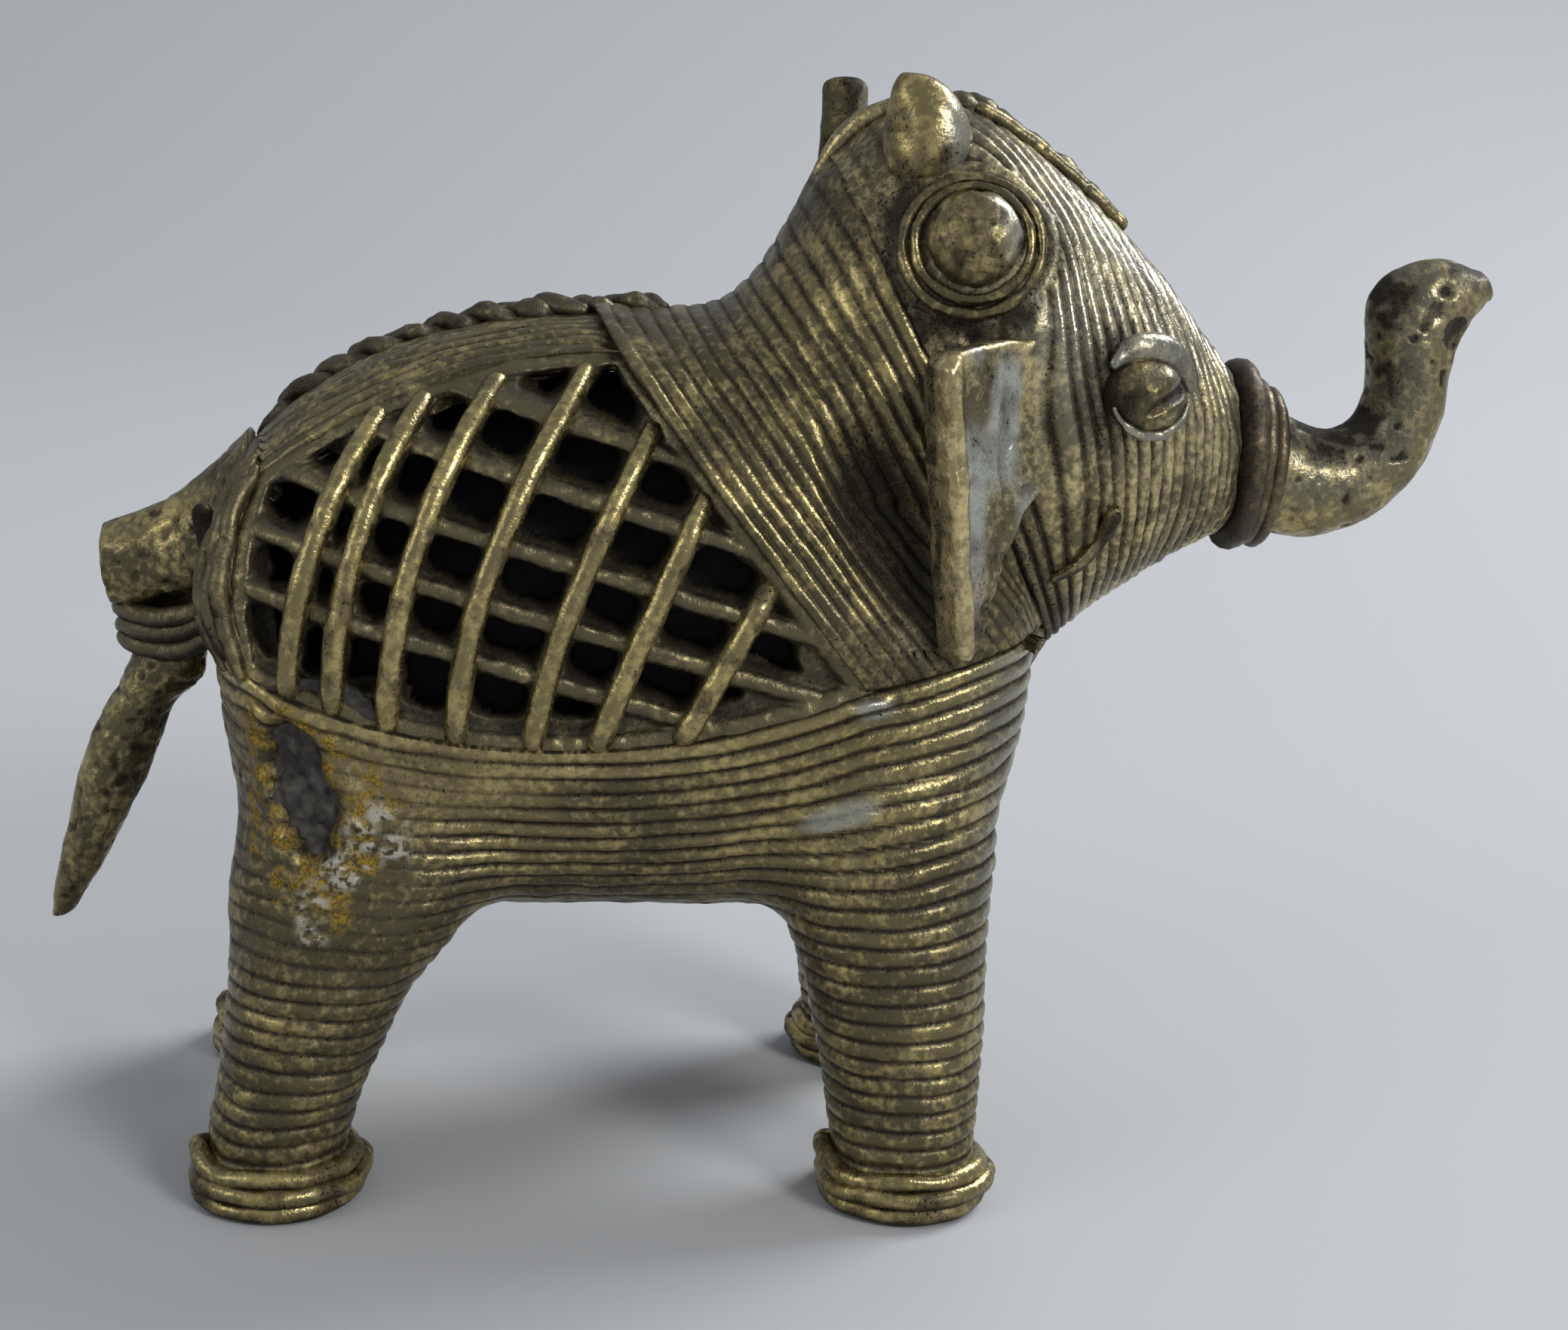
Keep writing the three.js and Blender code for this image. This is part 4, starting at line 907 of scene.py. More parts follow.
boss = {"u": 0.192, "degrees": 28.5, "radius": 3.65, "height": 2.4, "ring": 0.42, "rings": (4.4, 5.3),
        "coiled": 6.8, "sunk": 2.2}
eye = {"u": 0.53, "degrees": 1.5, "length": 7.4, "height": 6.0, "bulge": 4.6, "forward": 0.5, "slit": 0.7,
       "level": (1.0, 0.0, -0.08), "lids": ((0.1, 0.82, 1.3, 0.6, 0.6), (1.16, 1.96, 0.45, 0.8, 0.2))}
head = {"columns": 340, "rows": 170, "innerRows": 8, "wall": 2.2, "threads": 21, "bow": 0.13, "snout": 0.9,
        "threadDepth": 0.42, "bossPitch": 1.15, "middle": (18, 0, 66)}
lumpyMetal = {"middle": (14.6, 72.0), "radii": (4.6, 3.2), "height": 0.45}
darkSpot = {"middle": (9.6, 71.6), "radii": (1.9, 1.1), "grime": 1.2}


def headPoint(u, degrees, side, grow=0.0):
    angle = np.radians(degrees if side > 0 else 180 - degrees)
    return loft(headSections, np.asarray(u, float), angle, grow)


def headFrame(u, degrees, side):
    # x forward along the head, y out of it, z up over it
    ahead = unit(headPoint(u + 0.03, degrees, side) - headPoint(u - 0.03, degrees, side))
    over = unit(headPoint(u, degrees + 5, side) - headPoint(u, degrees - 5, side))
    out = unit(np.cross(ahead, over)) * -side
    out = np.where(out[1] * side < 0, -out, out)
    return headPoint(u, degrees, side), np.stack([ahead, out, np.cross(ahead, out) * side])


def fromFrame(frame, local):
    place, axes = frame
    return place + local @ axes


def fromPlace(sheet, u, degrees):
    # distance from a place that both sides of the head have
    gaps = [np.linalg.norm(sheet - headPoint(u, degrees, side), axis=-1) for side in (right, left)]
    return np.minimum(*gaps)


def headShellSheets():
    outer, u, angle = loftSheet(headSections, head["rows"], head["columns"])
    normals = sheetNormals(outer, head["middle"])
    x, z = outer[..., 0], outer[..., 2]
    # threads bow forward on the cheeks and bend round the temple bosses
    bow = head["bow"] * smoothStep(0.05, 0.34, u) * np.cos(angle) ** 2
    fromBoss = fromPlace(outer, boss["u"], boss["degrees"])
    fromEye = fromPlace(outer, eye["u"], eye["degrees"])
    bow = bow + 0.075 * np.exp(-((fromBoss - 5) / 5.5) ** 2) * smoothStep(0.1, 0.3, u)
    phase = head["threads"] * (u - bow) + 0.12 * noise(outer, 5.0, 71)
    phase = np.where(fromBoss < boss["coiled"], fromBoss / head["bossPitch"], phase)
    rear = smoothStep(0.2, 0.08, u)
    grainy = np.maximum(rear * smoothStep(64, 74, z), smoothStep(0.93, 0.99, u))
    lumpy = patchOf(x, z, lumpyMetal["middle"], lumpyMetal["radii"], 0.6)
    grainy = np.maximum(grainy, lumpy)
    outer, masks = roughSkin(outer, normals, phase, head["threadDepth"] * (1 - 0.9 * grainy), 72)
    lumps = noise(outer, 1.2, 75) + 0.6 * noise(outer, 0.6, 76)
    outer = pushed(outer, normals, lumpyMetal["height"] * lumpy * lumps)
    # painted shade behind and below the ear and round the eye, strongest behind it; also a dark ring round
    # each boss and a dark spot
    dark = np.maximum(rear * smoothStep(70, 60, z), 0.6 * smoothStep(1.6, 0.2, np.abs(fromBoss - 6.6)))
    dark = np.maximum(dark, (0.4 + 0.6 * smoothStep(27.2, 25.4, x)) * smoothStep(6.4, 4.6, fromEye))
    spot = patchOf(x, z, darkSpot["middle"], darkSpot["radii"], 0.5)
    dark = np.maximum(dark, darkSpot["grime"] * spot)
    masks["grime"] = np.clip(masks["grime"] + 0.7 * dark + 0.25 * grainy, 0, 1)
    # a painted reflection in pale grey over the upper front of the head
    masks["silver"] = 0.5 * smoothStep(8, 24, x) * smoothStep(58, 74, z) * (1 - 0.6 * masks["grime"])
    ring = outer[-1]
    centre = ring[:-1].mean(axis=0)
    closing = [centre + (ring - centre) * shrink for shrink in (0.85, 0.6, 0.3, 0)]
    outer = np.concatenate([outer, closing])
    masks = {key: repeatEnds(value, 0, len(closing)) for key, value in masks.items()}
    inner, _, _ = loftSheet(headSections, head["innerRows"], head["columns"], -head["wall"],
                            stop=head["snout"])
    tip = np.broadcast_to(inner[-1, :-1].mean(axis=0), inner[:1].shape)
    return cupSheets(outer, masks, np.concatenate([inner, tip]))


def onSheet(sheet, x, z, side, lift=0.0):
    # the place on a sheet that the side view shows at x, z
    flat = sheet.reshape(-1, 3)
    flat = flat[flat[:, 1] * side > 0]
    nearest = np.argmin((flat[:, 0] - x) ** 2 + (flat[:, 2] - z) ** 2)
    return flat[nearest] + np.array([0, side * lift, 0])


sheets = headShellSheets()
headSkin = sheets[0][0]
# loose ends of wax: a curl on the cheek, the lower lip and a ridge over the nape
curlPlaces = ((26.4, 57.6), (25.6, 55.4), (24.2, 53.6), (22.4, 52.1))
curl = [onSheet(headSkin, x, z, right, 0.35) for x, z in curlPlaces]
lip = [(31.2, -2.5, 54.6), (32.8, -3.0, 53.9), (34.3, -2.2, 54.1), (35.4, -0.5, 53.9)]
ridge = [(3.4, -2.2, 83.0), (4.8, -2.4, 85.0), (6.6, -2.8, 86.9), (8.9, -3.4, 88.2)]
looseEnds = ((curl, (0.75, 0.6, 0.55, 0.4)), (lip, (0.6, 0.95, 0.9, 0.6)), (ridge, (0.6, 0.95, 0.95, 0.7)))
for points, radii in looseEnds:
    along = np.linspace(0, 1, 22)
    radius = np.interp(along, np.linspace(0, 1, len(radii)), radii)
    tube, grime = tubeSheet(catmull(points, along), radius, 12)
    sheets.append((tube, {"grime": grime, "gold": 0.3}))
# the head shell takes the brighter brass, painted light
layPiece("headShell", sheets, "head_shell", headBrassPaintedLit)


# temple bosses with the threads coiled round them

def domeSheet(frame, radius, height, sink, rows=26, columns=64):
    # a low dome, closed behind
    r = np.concatenate([np.sin(np.linspace(0, np.pi / 2, rows)), [1.0, 0.0]]) * radius
    h = np.concatenate([np.cos(np.linspace(0, np.pi / 2, rows)) * height, [-sink, -sink]])
    angle = np.linspace(0, 2 * np.pi, columns + 1)
    local = [r[:, None] * np.cos(angle), h[:, None] + 0 * angle, r[:, None] * np.sin(angle)]
    return fromFrame(frame, np.stack(local, axis=-1))


def ringPath(frame, radius, lift, centre, count=72):
    angle = np.linspace(0, 2 * np.pi, count, endpoint=False)
    local = [centre[0] + radius * np.cos(angle), 0 * angle + lift, centre[1] + radius * np.sin(angle)]
    return fromFrame(frame, np.stack(local, axis=-1))


for side, name in sideNames.items():
    frameHere = headFrame(boss["u"], boss["degrees"], side)
    dome = domeSheet(frameHere, boss["radius"], boss["height"], boss["sunk"])
    dome = roughen(dome, frameHere[0], (0.2, 1.8), (0.12, 0.6))
    spots = smoothStep(0.0, 0.45, noise(dome, 0.8, 81) + 0.35 * noise(dome, 2.2, 85))
    ahead = (dome - frameHere[0]) @ frameHere[1][0]
    # a painted highlight on the front of each dome
    masks = {"grime": 0.25 + 0.6 * spots, "gold": 0.45, "silver": 0.9 * smoothStep(1.2, 3.2, ahead)}
    layPiece(name + "TempleBoss", [(dome, masks)], name + "_temple_boss", brass)
    rings = []
    for i, radius in enumerate(boss["rings"]):
        path = ringPath(frameHere, radius, 0.1 - 0.25 * i, (-0.3 - 0.1 * i, -0.4 - 0.1 * i))
        rings.append(waxThread(path, boss["ring"], frameHere[0], ((0.14, 1.5), (0.05, 0.6)),
                               (0.5, 2.0, 86, -0.3, 0.3), 12, up=frameHere[1][1], loop=True))
    layPiece(name + "BossRings", rings, name + "_boss_rings", brass)

# eyes: dark bulging almonds, a heavy lid over them and a thin rim below


def eyeFrame(side):
    # as the head's own frame there, but level
    place, axes = headFrame(eye["u"], eye["degrees"], side)
    level = unit(np.array(eye["level"]) - axes[1] * (axes[1] @ np.array(eye["level"])))
    return place + level * eye["forward"], np.stack([level, axes[1], np.cross(level, axes[1]) * side])


def eyeBall(frame):
    # an almond with two swellings and a slit between them
    v, turn = np.meshgrid(np.linspace(0, np.pi, 60), np.linspace(0, 2 * np.pi, 97), indexing="ij")
    ahead = eye["length"] / 2 * np.sin(v) * np.cos(turn)
    out = eye["bulge"] / 2 * np.cos(v)
    over = eye["height"] / 2 * np.sin(v) * np.sin(turn)
    slit = np.abs(over + 0.5 - 0.6 * (ahead - 0.6))
    cut = smoothStep(0.95, 0.15, slit) * smoothStep(-1.6, -0.2, ahead) * smoothStep(3.5, 2.6, ahead)
    swelling = 0.35 * np.exp(-((ahead + 1.1) ** 2 + over ** 2) / 1.6)
    swelling = swelling + 0.3 * np.exp(-((ahead - 0.9) ** 2 + (over - 1.3) ** 2) / 1.2)
    cut = cut * (v < 1.5)
    out = out + (v < 1.5) * swelling - eye["slit"] * cut
    ball = roughen(fromFrame(frame, np.stack([ahead, out, over], axis=-1)), frame[0], (0.12, 1.4))
    # painted shade in the slit, along the top and bottom edges under the lids and at the rear end; the
    # blotches are darker metal
    shade = 0.55 * blotches(ball, 1.2, 83, -0.2, 0.35) + 0.5 * smoothStep(2.2, 3.0, np.abs(over))
    grime = 0.8 * cut + shade + 0.5 * smoothStep(-1.6, -2.8, ahead)
    # a painted highlight on the upper front
    silver = 0.8 * smoothStep(0.2, 1.4, ahead) * smoothStep(-0.6, 0.6, over)
    return ball, {"grime": np.clip(grime, 0, 1), "silver": silver}


def eyeLid(frame, first, final, thick, lift, spread):
    turn = np.linspace(first * np.pi, final * np.pi, 46)
    local = [(eye["length"] / 2 + spread) * np.cos(turn), lift + 0 * turn,
             (eye["height"] / 2 + spread) * np.sin(turn)]
    swell = thick * (0.3 + 0.7 * np.sin(np.linspace(0.12, np.pi - 0.12, 46)))
    # the lids carry a painted reflection all over
    return waxThread(fromFrame(frame, np.stack(local, axis=-1)), swell, frame[0], ((0.14, 1.0),),
                     (0.45, 1.2, 87, -0.2, 0.4), 16, 0.8, silver=0.6, up=frame[1][1], flat=0.8)


for side, name in sideNames.items():
    frameHere = eyeFrame(side)
    layPiece(name + "Eye", [eyeBall(frameHere)], name + "_eye", brass)
    lids = [eyeLid(frameHere, *lid) for lid in eye["lids"]]
    layPiece(name + "Eyelid", lids, name + "_eyelid", brass)
print("head laid")


# windows: the rim and the inner threads with the webs of metal between them, and the outer bars

barRows = ((9, 12, 2.4), (12.4, 10.6, 2.4), (16.6, 10.8, 2.2), (21.8, 11.9, 1.9), (27.7, 13, 1.5),
           (32.5, 13.5, 1.1), (38.5, 17, 1))
rearX = -46
barBaseZ = 39.2
grille = {"columns": 300, "rows": 190, "wall": 1.0, "barRadius": 0.95, "crossRadius": 0.85, "slope": -0.27,
          "heights": (-4, 0.6, 5.4, 10.6, 15.6), "crossWeb": 0.82, "barWeb": 0.8, "rimWeb": 1.3, "sunk": 1.35,
          "shallow": 1.15, "deep": 3.0}
filledCells = (((-33.0, 62.5), (3.2, 2.2)), ((-30.5, 43.0), (3.0, 1.3)), ((-2.6, 45.6), (2.6, 1.2)))


def cornerArc(a, b, bulge, steps):
    a, b = np.array(a, float), np.array(b, float)
    control = (a + b) / 2 + 2 * np.array(bulge)
    t = np.linspace(0, 1, steps, endpoint=False)[:, None]
    return a * (1 - t) ** 2 + 2 * control * t * (1 - t) + b * t ** 2


def windowLine(steps=24):
    rearLow, frontLow = (window["rearX"], window["rearZ"]), (window["frontX"], window["frontZ"])
    return np.concatenate([
        cornerArc(rearLow, frontLow, (0, -window["sag"]), steps),
        cornerArc(frontLow, window["highFront"], (0, 0), steps),
        cornerArc(window["highFront"], window["highRear"], (-0.5, 2.6), steps),
        cornerArc(window["highRear"], rearLow, (-1, 0), steps)])


windowEdge = windowLine()
windowInset = 0.3


def insideWindow(x, z, count):
    line = np.stack([x, z], axis=-1)[outlineGap(x, z, windowEdge) < -windowInset]
    return evenly(line, count)


def barLine(foot, lean, delay):
    t = np.linspace(0, 1, 200)
    return insideWindow(rearX + foot + lean * t ** delay, barBaseZ + (bodyTopZ - barBaseZ) * t, 60)


def crossLine(height):
    x = np.linspace(-44, 8, 260)
    return insideWindow(x, torso["axisZ"] + height + grille["slope"] * (x - torso["middleX"]), 70)


def onFlank(line, side, depth=0.0):
    x, z = line[:, 0], line[:, 1]
    return np.stack([x, side * flankY(x, z, depth), z], axis=-1)


bars = [bar[: int(0.965 * len(bar))] for bar in (barLine(*row) for row in barRows)]
bars[-1] = bars[-1][: int(0.97 * len(bars[-1]))]
crosses = [crossLine(height) for height in grille["heights"]]


def grilleSheet(side):
    # a film over the window, heaped up along the threads and gone in the holes between them
    x, z = np.meshgrid(np.linspace(-44.5, 9.0, grille["columns"] + 1),
                       np.linspace(37.5, 72.5, grille["rows"] + 1))
    flat = np.stack([x, side * 20 + 0 * x, z], axis=-1)
    wobble = 0.2 * noise(flat, 2.2, 91 + side) + 0.1 * noise(flat, 0.9, 93 + side)
    toRim = -outlineGap(x, z, windowEdge)
    toBar = np.minimum.reduce([lineGap(x, z, bar) for bar in bars])
    toCross = np.minimum.reduce([lineGap(x, z, cross) for cross in crosses])
    # how far each place is from metal: round corners where threads meet
    bare = smoothLeast(toCross - grille["crossWeb"], toBar - grille["barWeb"], 1.15)
    sill = 1.3 * smoothStep(2.6, 0.6, np.abs(z - sillZ(x) - 1.0))
    foot = 1.6 * patchOf(x, z, (4.5, 44.6), (6.5, 3.2), 0.5)
    bare = smoothLeast(bare, toRim - grille["rimWeb"] - sill - foot, 1.3) + wobble
    # shallow cells that metal has filled, at the rear and along the sill
    filled = smoothStep(-37.2, -39.4, x + 0.12 * (z - 50))
    for middle, radii in filledCells:
        filled = np.maximum(filled, 0.9 * patchOf(x, z, middle, radii))
    hole = smoothStep(-0.15, 0.45, bare)
    crown = 0.75 * np.sqrt(np.clip(1 - (toCross / grille["crossRadius"]) ** 2, 0, 1))
    crown = np.maximum(crown, 0.95 * np.sqrt(np.clip(1 - (toRim / grille["rimWeb"]) ** 2, 0, 1)))
    rise = crown - grille["sunk"] + 0.1 * noise(flat, 0.8, 95) + 0.12 * noise(flat, 2.0, 96)
    rise = rise - np.where(filled > 0.5, grille["shallow"], grille["deep"]) * hole
    keep = ((bare < 0.42) | (filled > 0.5)) & (toRim > -0.9)
    # darker where the film sinks into the holes and away from the thread crowns
    grime = 0.85 * hole + 0.55 * smoothStep(0.5, 0.0, crown) + 0.3 * noise(flat, 1.7, 97)
    masks = {"grime": np.clip(grime, 0, 1), "gold": 0.5 * smoothStep(0.55, 0.8, crown)}
    return np.stack([x, side * (flankY(x, z) + rise), z], axis=-1), masks, keep


for side, name in sideNames.items():
    film, masks, keep = grilleSheet(side)
    layPiece(name + "Grille", [(film, masks, keep)], name + "_grille", darkBrass,
             wall=grille["wall"])
    for i, bar in enumerate(bars):
        sunk = np.interp(np.linspace(0, 1, len(bar)), [0, 0.07, 0.88, 1], [0.6, 0, 0, 0.9])
        path = onFlank(bar, side, 0.25) - np.stack([0 * sunk, side * sunk, 0 * sunk], axis=-1)
        radius = grille["barRadius"] * (1 + 0.05 * noise(path, 3.0, 101 + i))
        radius = radius * np.interp(np.linspace(0, 1, len(path)), [0, 0.04, 0.9, 1], [0.95, 1, 0.96, 0.85])
        outward = np.stack([0 * bar[:, 0], side + 0 * bar[:, 0], 0.2 + 0 * bar[:, 0]], axis=-1)
        thread = waxThread(path, radius, path.mean(axis=0), ((0.07, 1.6), (0.04, 0.6)),
                           (0.7, 1.3, 111, 0.2, 0.6), 18, gold=0.5, up=outward)
        number = str(i + 1)
        layPiece(name + "Bar" + number, [thread], name + "_bar_" + number, brightBrass)
print("windows laid")

# foot cuffs: threads wound round the foot, their ends standing off

cuff = {"radius": 0.8, "rings": 3, "lowest": 0.95, "spacing": 1.25, "grow": 0.7, "count": 120}
cuffEnds = {(right, "front"): (0.28, 0.55), (right, "rear"): (0.23, 0.6), (left, "front"): (0.75, 0.4),
            (left, "rear"): (0.27, 0.5)}


def onFloor(sheet):
    sheet[..., 2] = np.maximum(sheet[..., 2], 0.0)
    return sheet


def cuffThread(side, kind, i):
    # i counts up from the floor; the upper threads' ends spring off the foot
    endTurn, spring = cuffEnds[(side, kind)]
    turn = np.linspace(0.01, 0.99, cuff["count"])
    angle = (turn + endTurn + 0.48 * (i == 2)) * 2 * np.pi
    end = smoothStep(0.1, 0.0, turn) + smoothStep(0.9, 1.0, turn)
    wave = 0.25 * np.sin(angle * 2 + i) + 0.18 * np.sin(angle * 5 + 2 * i)
    z = cuff["lowest"] + cuff["spacing"] * i + (i > 0) * (0.6 * wave + 0.9 * spring * i * end)
    waver = noise(np.stack([angle * 3, z, 0 * z + i], axis=-1), 2.0, 121)
    grow = cuff["grow"] + 0.2 * (i == 1) - 0.25 * (i == 2) + 0.2 * waver + 0.8 * spring * end * (i > 0)
    ring = legRing(side, kind, np.clip(z, 0, haunchZ), angle, grow)
    ring[:, 2] = z
    tube, grime = tubeSheet(ring, cuff["radius"] * (1 + 0.06 * np.sin(angle * 3 + i)), 14)
    tube = onFloor(roughen(onFloor(tube), ring.mean(axis=0), (0.09, 1.6)))
    spots = 0.8 * blotches(tube, 2.0, 123, -0.2, 0.5)
    return tube, {"grime": np.clip(grime + spots, 0, 1), "gold": 0.35}


for (side, kind), name in legNames.items():
    threads = [cuffThread(side, kind, i) for i in range(cuff["rings"])]
    layPiece(name.replace("_", "") + "Cuff", threads, name + "_foot_cuff", brightBrass)
print("cuffs laid")

# trunk: rises from the snout, its tip closing like a mitten

snoutTop = (poll[0] + 34.6, poll[1] - 15.8)
snoutLow = (throat[0] + 14.4, throat[1] + 9.7)
trunkSections = np.array([
    (0.6, -1.2, 0.6, 1, 5.6), (4.6, -3.4, 3.6, 0, 5), (8.8, -5.2, 8.4, -0.4, 4.4),
    (11.4, -4.3, 13.8, 1.7, 3.9), (12.4, -1.9, 17.4, 5.8, 3.6), (12.2, 1.7, 18.8, 10, 3.5),
    (11.9, 5.9, 19.1, 14, 3.6), (14, 8.4, 20, 17, 3.5), (17.6, 9.4, 21, 18.8, 2.7),
    (20.8, 8.6, 21.75, 19.9, 1.6)])
trunkSections = trunkSections + (*snoutTop, *snoutLow, 0)
trunk = {"columns": 110, "rows": 210}
# the dents at the tip: place in the side view, size and depth
trunkDents = ((57.3, 71.6, 1.3, 0.9), (54.8, 73.6, 0.9, 0.45), (55.6, 75.2, 0.7, 0.4))


def closeSheet(sheet, masks, steps=4):
    # round both ends of a loft off to a point
    caps = []
    for ring, ahead in ((sheet[0], sheet[0] - sheet[1]), (sheet[-1], sheet[-1] - sheet[-2])):
        centre = ring[:-1].mean(axis=0)
        push = unit(ahead.mean(axis=0)) * np.linalg.norm(ring - centre, axis=1).min()
        cap = [centre + (ring - centre) * math.cos(a) + push * math.sin(a) * 0.55
               for a in np.radians(np.linspace(90 / steps, 90, steps))]
        caps.append(np.array(cap))
    masks = {key: repeatEnds(value, steps, steps) for key, value in masks.items()}
    return np.concatenate([caps[0][::-1], sheet, caps[1]]), masks


def loftNormals(sheet):
    centres = sheet[:, :-1].mean(axis=1, keepdims=True)
    normals = sheetNormals(sheet, sheet.mean(axis=(0, 1)))
    flip = np.sign(np.sum(normals * (sheet - centres), axis=-1, keepdims=True).mean())
    return normals * (1 if flip >= 0 else -1)


sheet, u, angle = loftSheet(trunkSections, trunk["rows"], trunk["columns"], power=2)
normals = loftNormals(sheet)
x, y, z = np.moveaxis(sheet, -1, 0)
hollows = 0
for dentX, dentZ, size, deep in trunkDents:
    hollows = hollows + deep * np.exp(-(np.hypot(x - dentX, z - dentZ) / size) ** 2) * (np.abs(y) > 0.5)
pits = blotches(sheet, 0.9, 131, 0.35, 0.7) * smoothStep(-0.2, 0.4, noise(sheet, 3.2, 132) + 0.2)
push = 0.12 * noise(sheet, 2.6, 133) + 0.05 * noise(sheet, 0.8, 134) - 0.2 * pits - hollows
inner = smoothStep(0.1, 0.9, np.sin(angle))
mottled = smoothStep(-0.25, 0.3, noise(sheet, 2.2, 135) + 0.5 * noise(sheet, 0.8, 136))
# darker on the inner side and gold on the other; a painted reflection runs along one flank
grime = (0.35 + 0.5 * inner) * mottled + 0.3 * inner + 0.9 * pits + 0.8 * (hollows > 0.25)
masks = {"grime": np.clip(grime, 0, 1), "gold": 0.6 * smoothStep(0.1, -0.6, np.sin(angle)),
         "silver": 0.2 * smoothStep(0.3, 0.9, np.cos(angle - 2.6))}
sheet, masks = closeSheet(pushed(sheet, normals, push), masks)
layPiece("trunkTube", [(sheet, masks)], "trunk", brass)

collar = {"radii": (1.25, 0.75, 0.7), "places": (0.025, 0.06875, 0.1), "count": 90, "clear": 0.45}
threads = []
for radius, along in zip(collar["radii"], collar["places"]):
    angle = np.linspace(0, 2 * np.pi, collar["count"], endpoint=False)
    ring = loft(trunkSections, np.full(angle.shape, along), angle, 0.55 * radius + collar["clear"], 2)
    thick = radius > 1
    threads.append(waxThread(ring, radius * (1 + 0.05 * np.sin(3 * angle)), ring.mean(axis=0),
                             ((0.1, 1.4), (0.05, 0.6)), (0.5 * thick, 1.8, 141, -0.3, 0.4),
                             under=0.6, gold=0.5 * (not thick), up=(1, 0, 0), loop=True))
layPiece("trunkCollar", threads, "trunk_collar", redBrass)

# tail: a stub with a flat cut end, threads draped under it and a cone that hangs from them

stubSections = np.array([(-42.5, 60.4, -42.9, 46.0, 6.4), (-46.1, 57.0, -45.7, 45.4, 5.3),
                         (-49.9, 54.2, -49.4, 45.2, 4.3), (-54.5, 52.1, -53.6, 45.2, 3.4)])
tailSections = np.array([(-50.9, 44.6, -46.4, 44.6, 2.4), (-53.2, 39.6, -46.5, 40, 3.2),
                         (-56.1, 34.1, -49.1, 36.7, 2.9), (-57.9, 27.6, -51.7, 30.2, 2.5),
                         (-59.4, 21.4, -55, 23.4, 1.9), (-59.75, 18.2, -57.8, 18.8, 1.1)])


def tailPiece(name, node, sections, rows, columns, close):
    # pitted metal, brighter on top
    sheet, u, angle = loftSheet(sections, rows, columns, power=2)
    normals = loftNormals(sheet)
    pits = blotches(sheet, 0.8, 151, 0.2, 0.6)
    push = 0.14 * noise(sheet, 2.6, 152) + 0.1 * noise(sheet, 0.8, 153) - 0.18 * pits
    masks = {"grime": np.clip(0.6 * pits + 0.35 * blotches(sheet, 2.0, 154, -0.3, 0.5), 0, 1),
             "gold": 0.6 * smoothStep(0.2, 0.8, np.sin(angle)) * smoothStep(0.1, 0.5, u)}
    layPiece(name, [close(pushed(sheet, normals, push), masks)], node, brass)


def cutEnd(sheet, masks):
    # the stub starts at a point in the rump and ends in a flat cut with a dent in it
    ring = sheet[-1]
    centre = ring[:-1].mean(axis=0)
    cut = [centre + (ring - centre) * shrink + (dent, 0, 0) for shrink, dent in
           ((0.93, -0.12), (0.8, 0), (0.6, 0.3), (0.4, 0.45), (0.2, 0.5), (0, 0.5))]
    start = np.broadcast_to(sheet[0, :-1].mean(axis=0), sheet[:1].shape)
    masks = {key: repeatEnds(value, 1, len(cut)) for key, value in masks.items()}
    return np.concatenate([start, sheet, cut]), masks


tailPiece("tailStub", "tail_stub", stubSections, 70, 90, cutEnd)
tailPiece("tailCone", "tail", tailSections, 130, 80, closeSheet)

wrapHalf = np.array([(-43.4, 9.6, 52.6), (-43.9, 7.6, 48.6), (-46.2, 5.7, 46.1), (-49.6, 4.1, 45.1),
                     (-53.2, 0, 45.2)])
wrap = {"count": 3, "radius": 0.84, "ridgeRadius": 0.72, "ridgeLift": 0.35}
wraps = []
for i in range(wrap["count"]):
    half = wrapHalf + np.array([0.2 * i, -0.2 * i, -1.3 * i])
    half[0] += (-0.9 * i, 0, 2.4 * i)
    other = half[:-1][::-1] * (1, -1, 1)
    path = catmull(np.concatenate([half, other]), np.linspace(0, 1, 110))
    waver = (0.15 * noise(path, 3.0, 161 + i), 0 * path[:, 0], 0.25 * noise(path, 4.0, 165 + i))
    path = path + np.stack(waver, axis=-1)
    wraps.append(waxThread(path, wrap["radius"], path.mean(axis=0), ((0.12, 1.6), (0.06, 0.7)),
                           (0.3, 2.2, 168, -0.2, 0.5), gold=0.3))
for line in ridgeLines:
    line = line + wrap["ridgeLift"] * unit(line - rump["heart"])
    taper = np.interp(np.linspace(0, 1, len(line)), [0, 0.1, 0.9, 1], [0.5, 1, 1, 0.6])
    wraps.append(waxThread(line, wrap["ridgeRadius"] * taper, line.mean(axis=0), ((0.12, 1.6), (0.05, 0.7)),
                           (0.4, 2.2, 169, -0.1, 0.5), 12, gold=0.5))
layPiece("tailWraps", wraps, "tail_wraps", darkBrass)
print("trunk and tail laid")


# ears: flat flaps, rounded at the edges and pitted in front

ear = {"u": 0.12, "degrees": -26, "sweep": 35, "reach": 15.1, "height": 21.5, "thin": 2.0, "thick": 3.4,
       "band": 1.7, "sunk": 2.5, "hollow": 0.7}
earEdge = np.array([(0, 0.66), (0.3, 0.7), (0.7, 0.67), (0.94, 0.65), (1, 0.6), (0.81, -0.38), (0.78, -0.44),
                    (0.68, -0.46), (0.6, -0.4), (0.47, -0.14), (0.34, 0.06), (0.2, 0.15), (0, 0.2)])


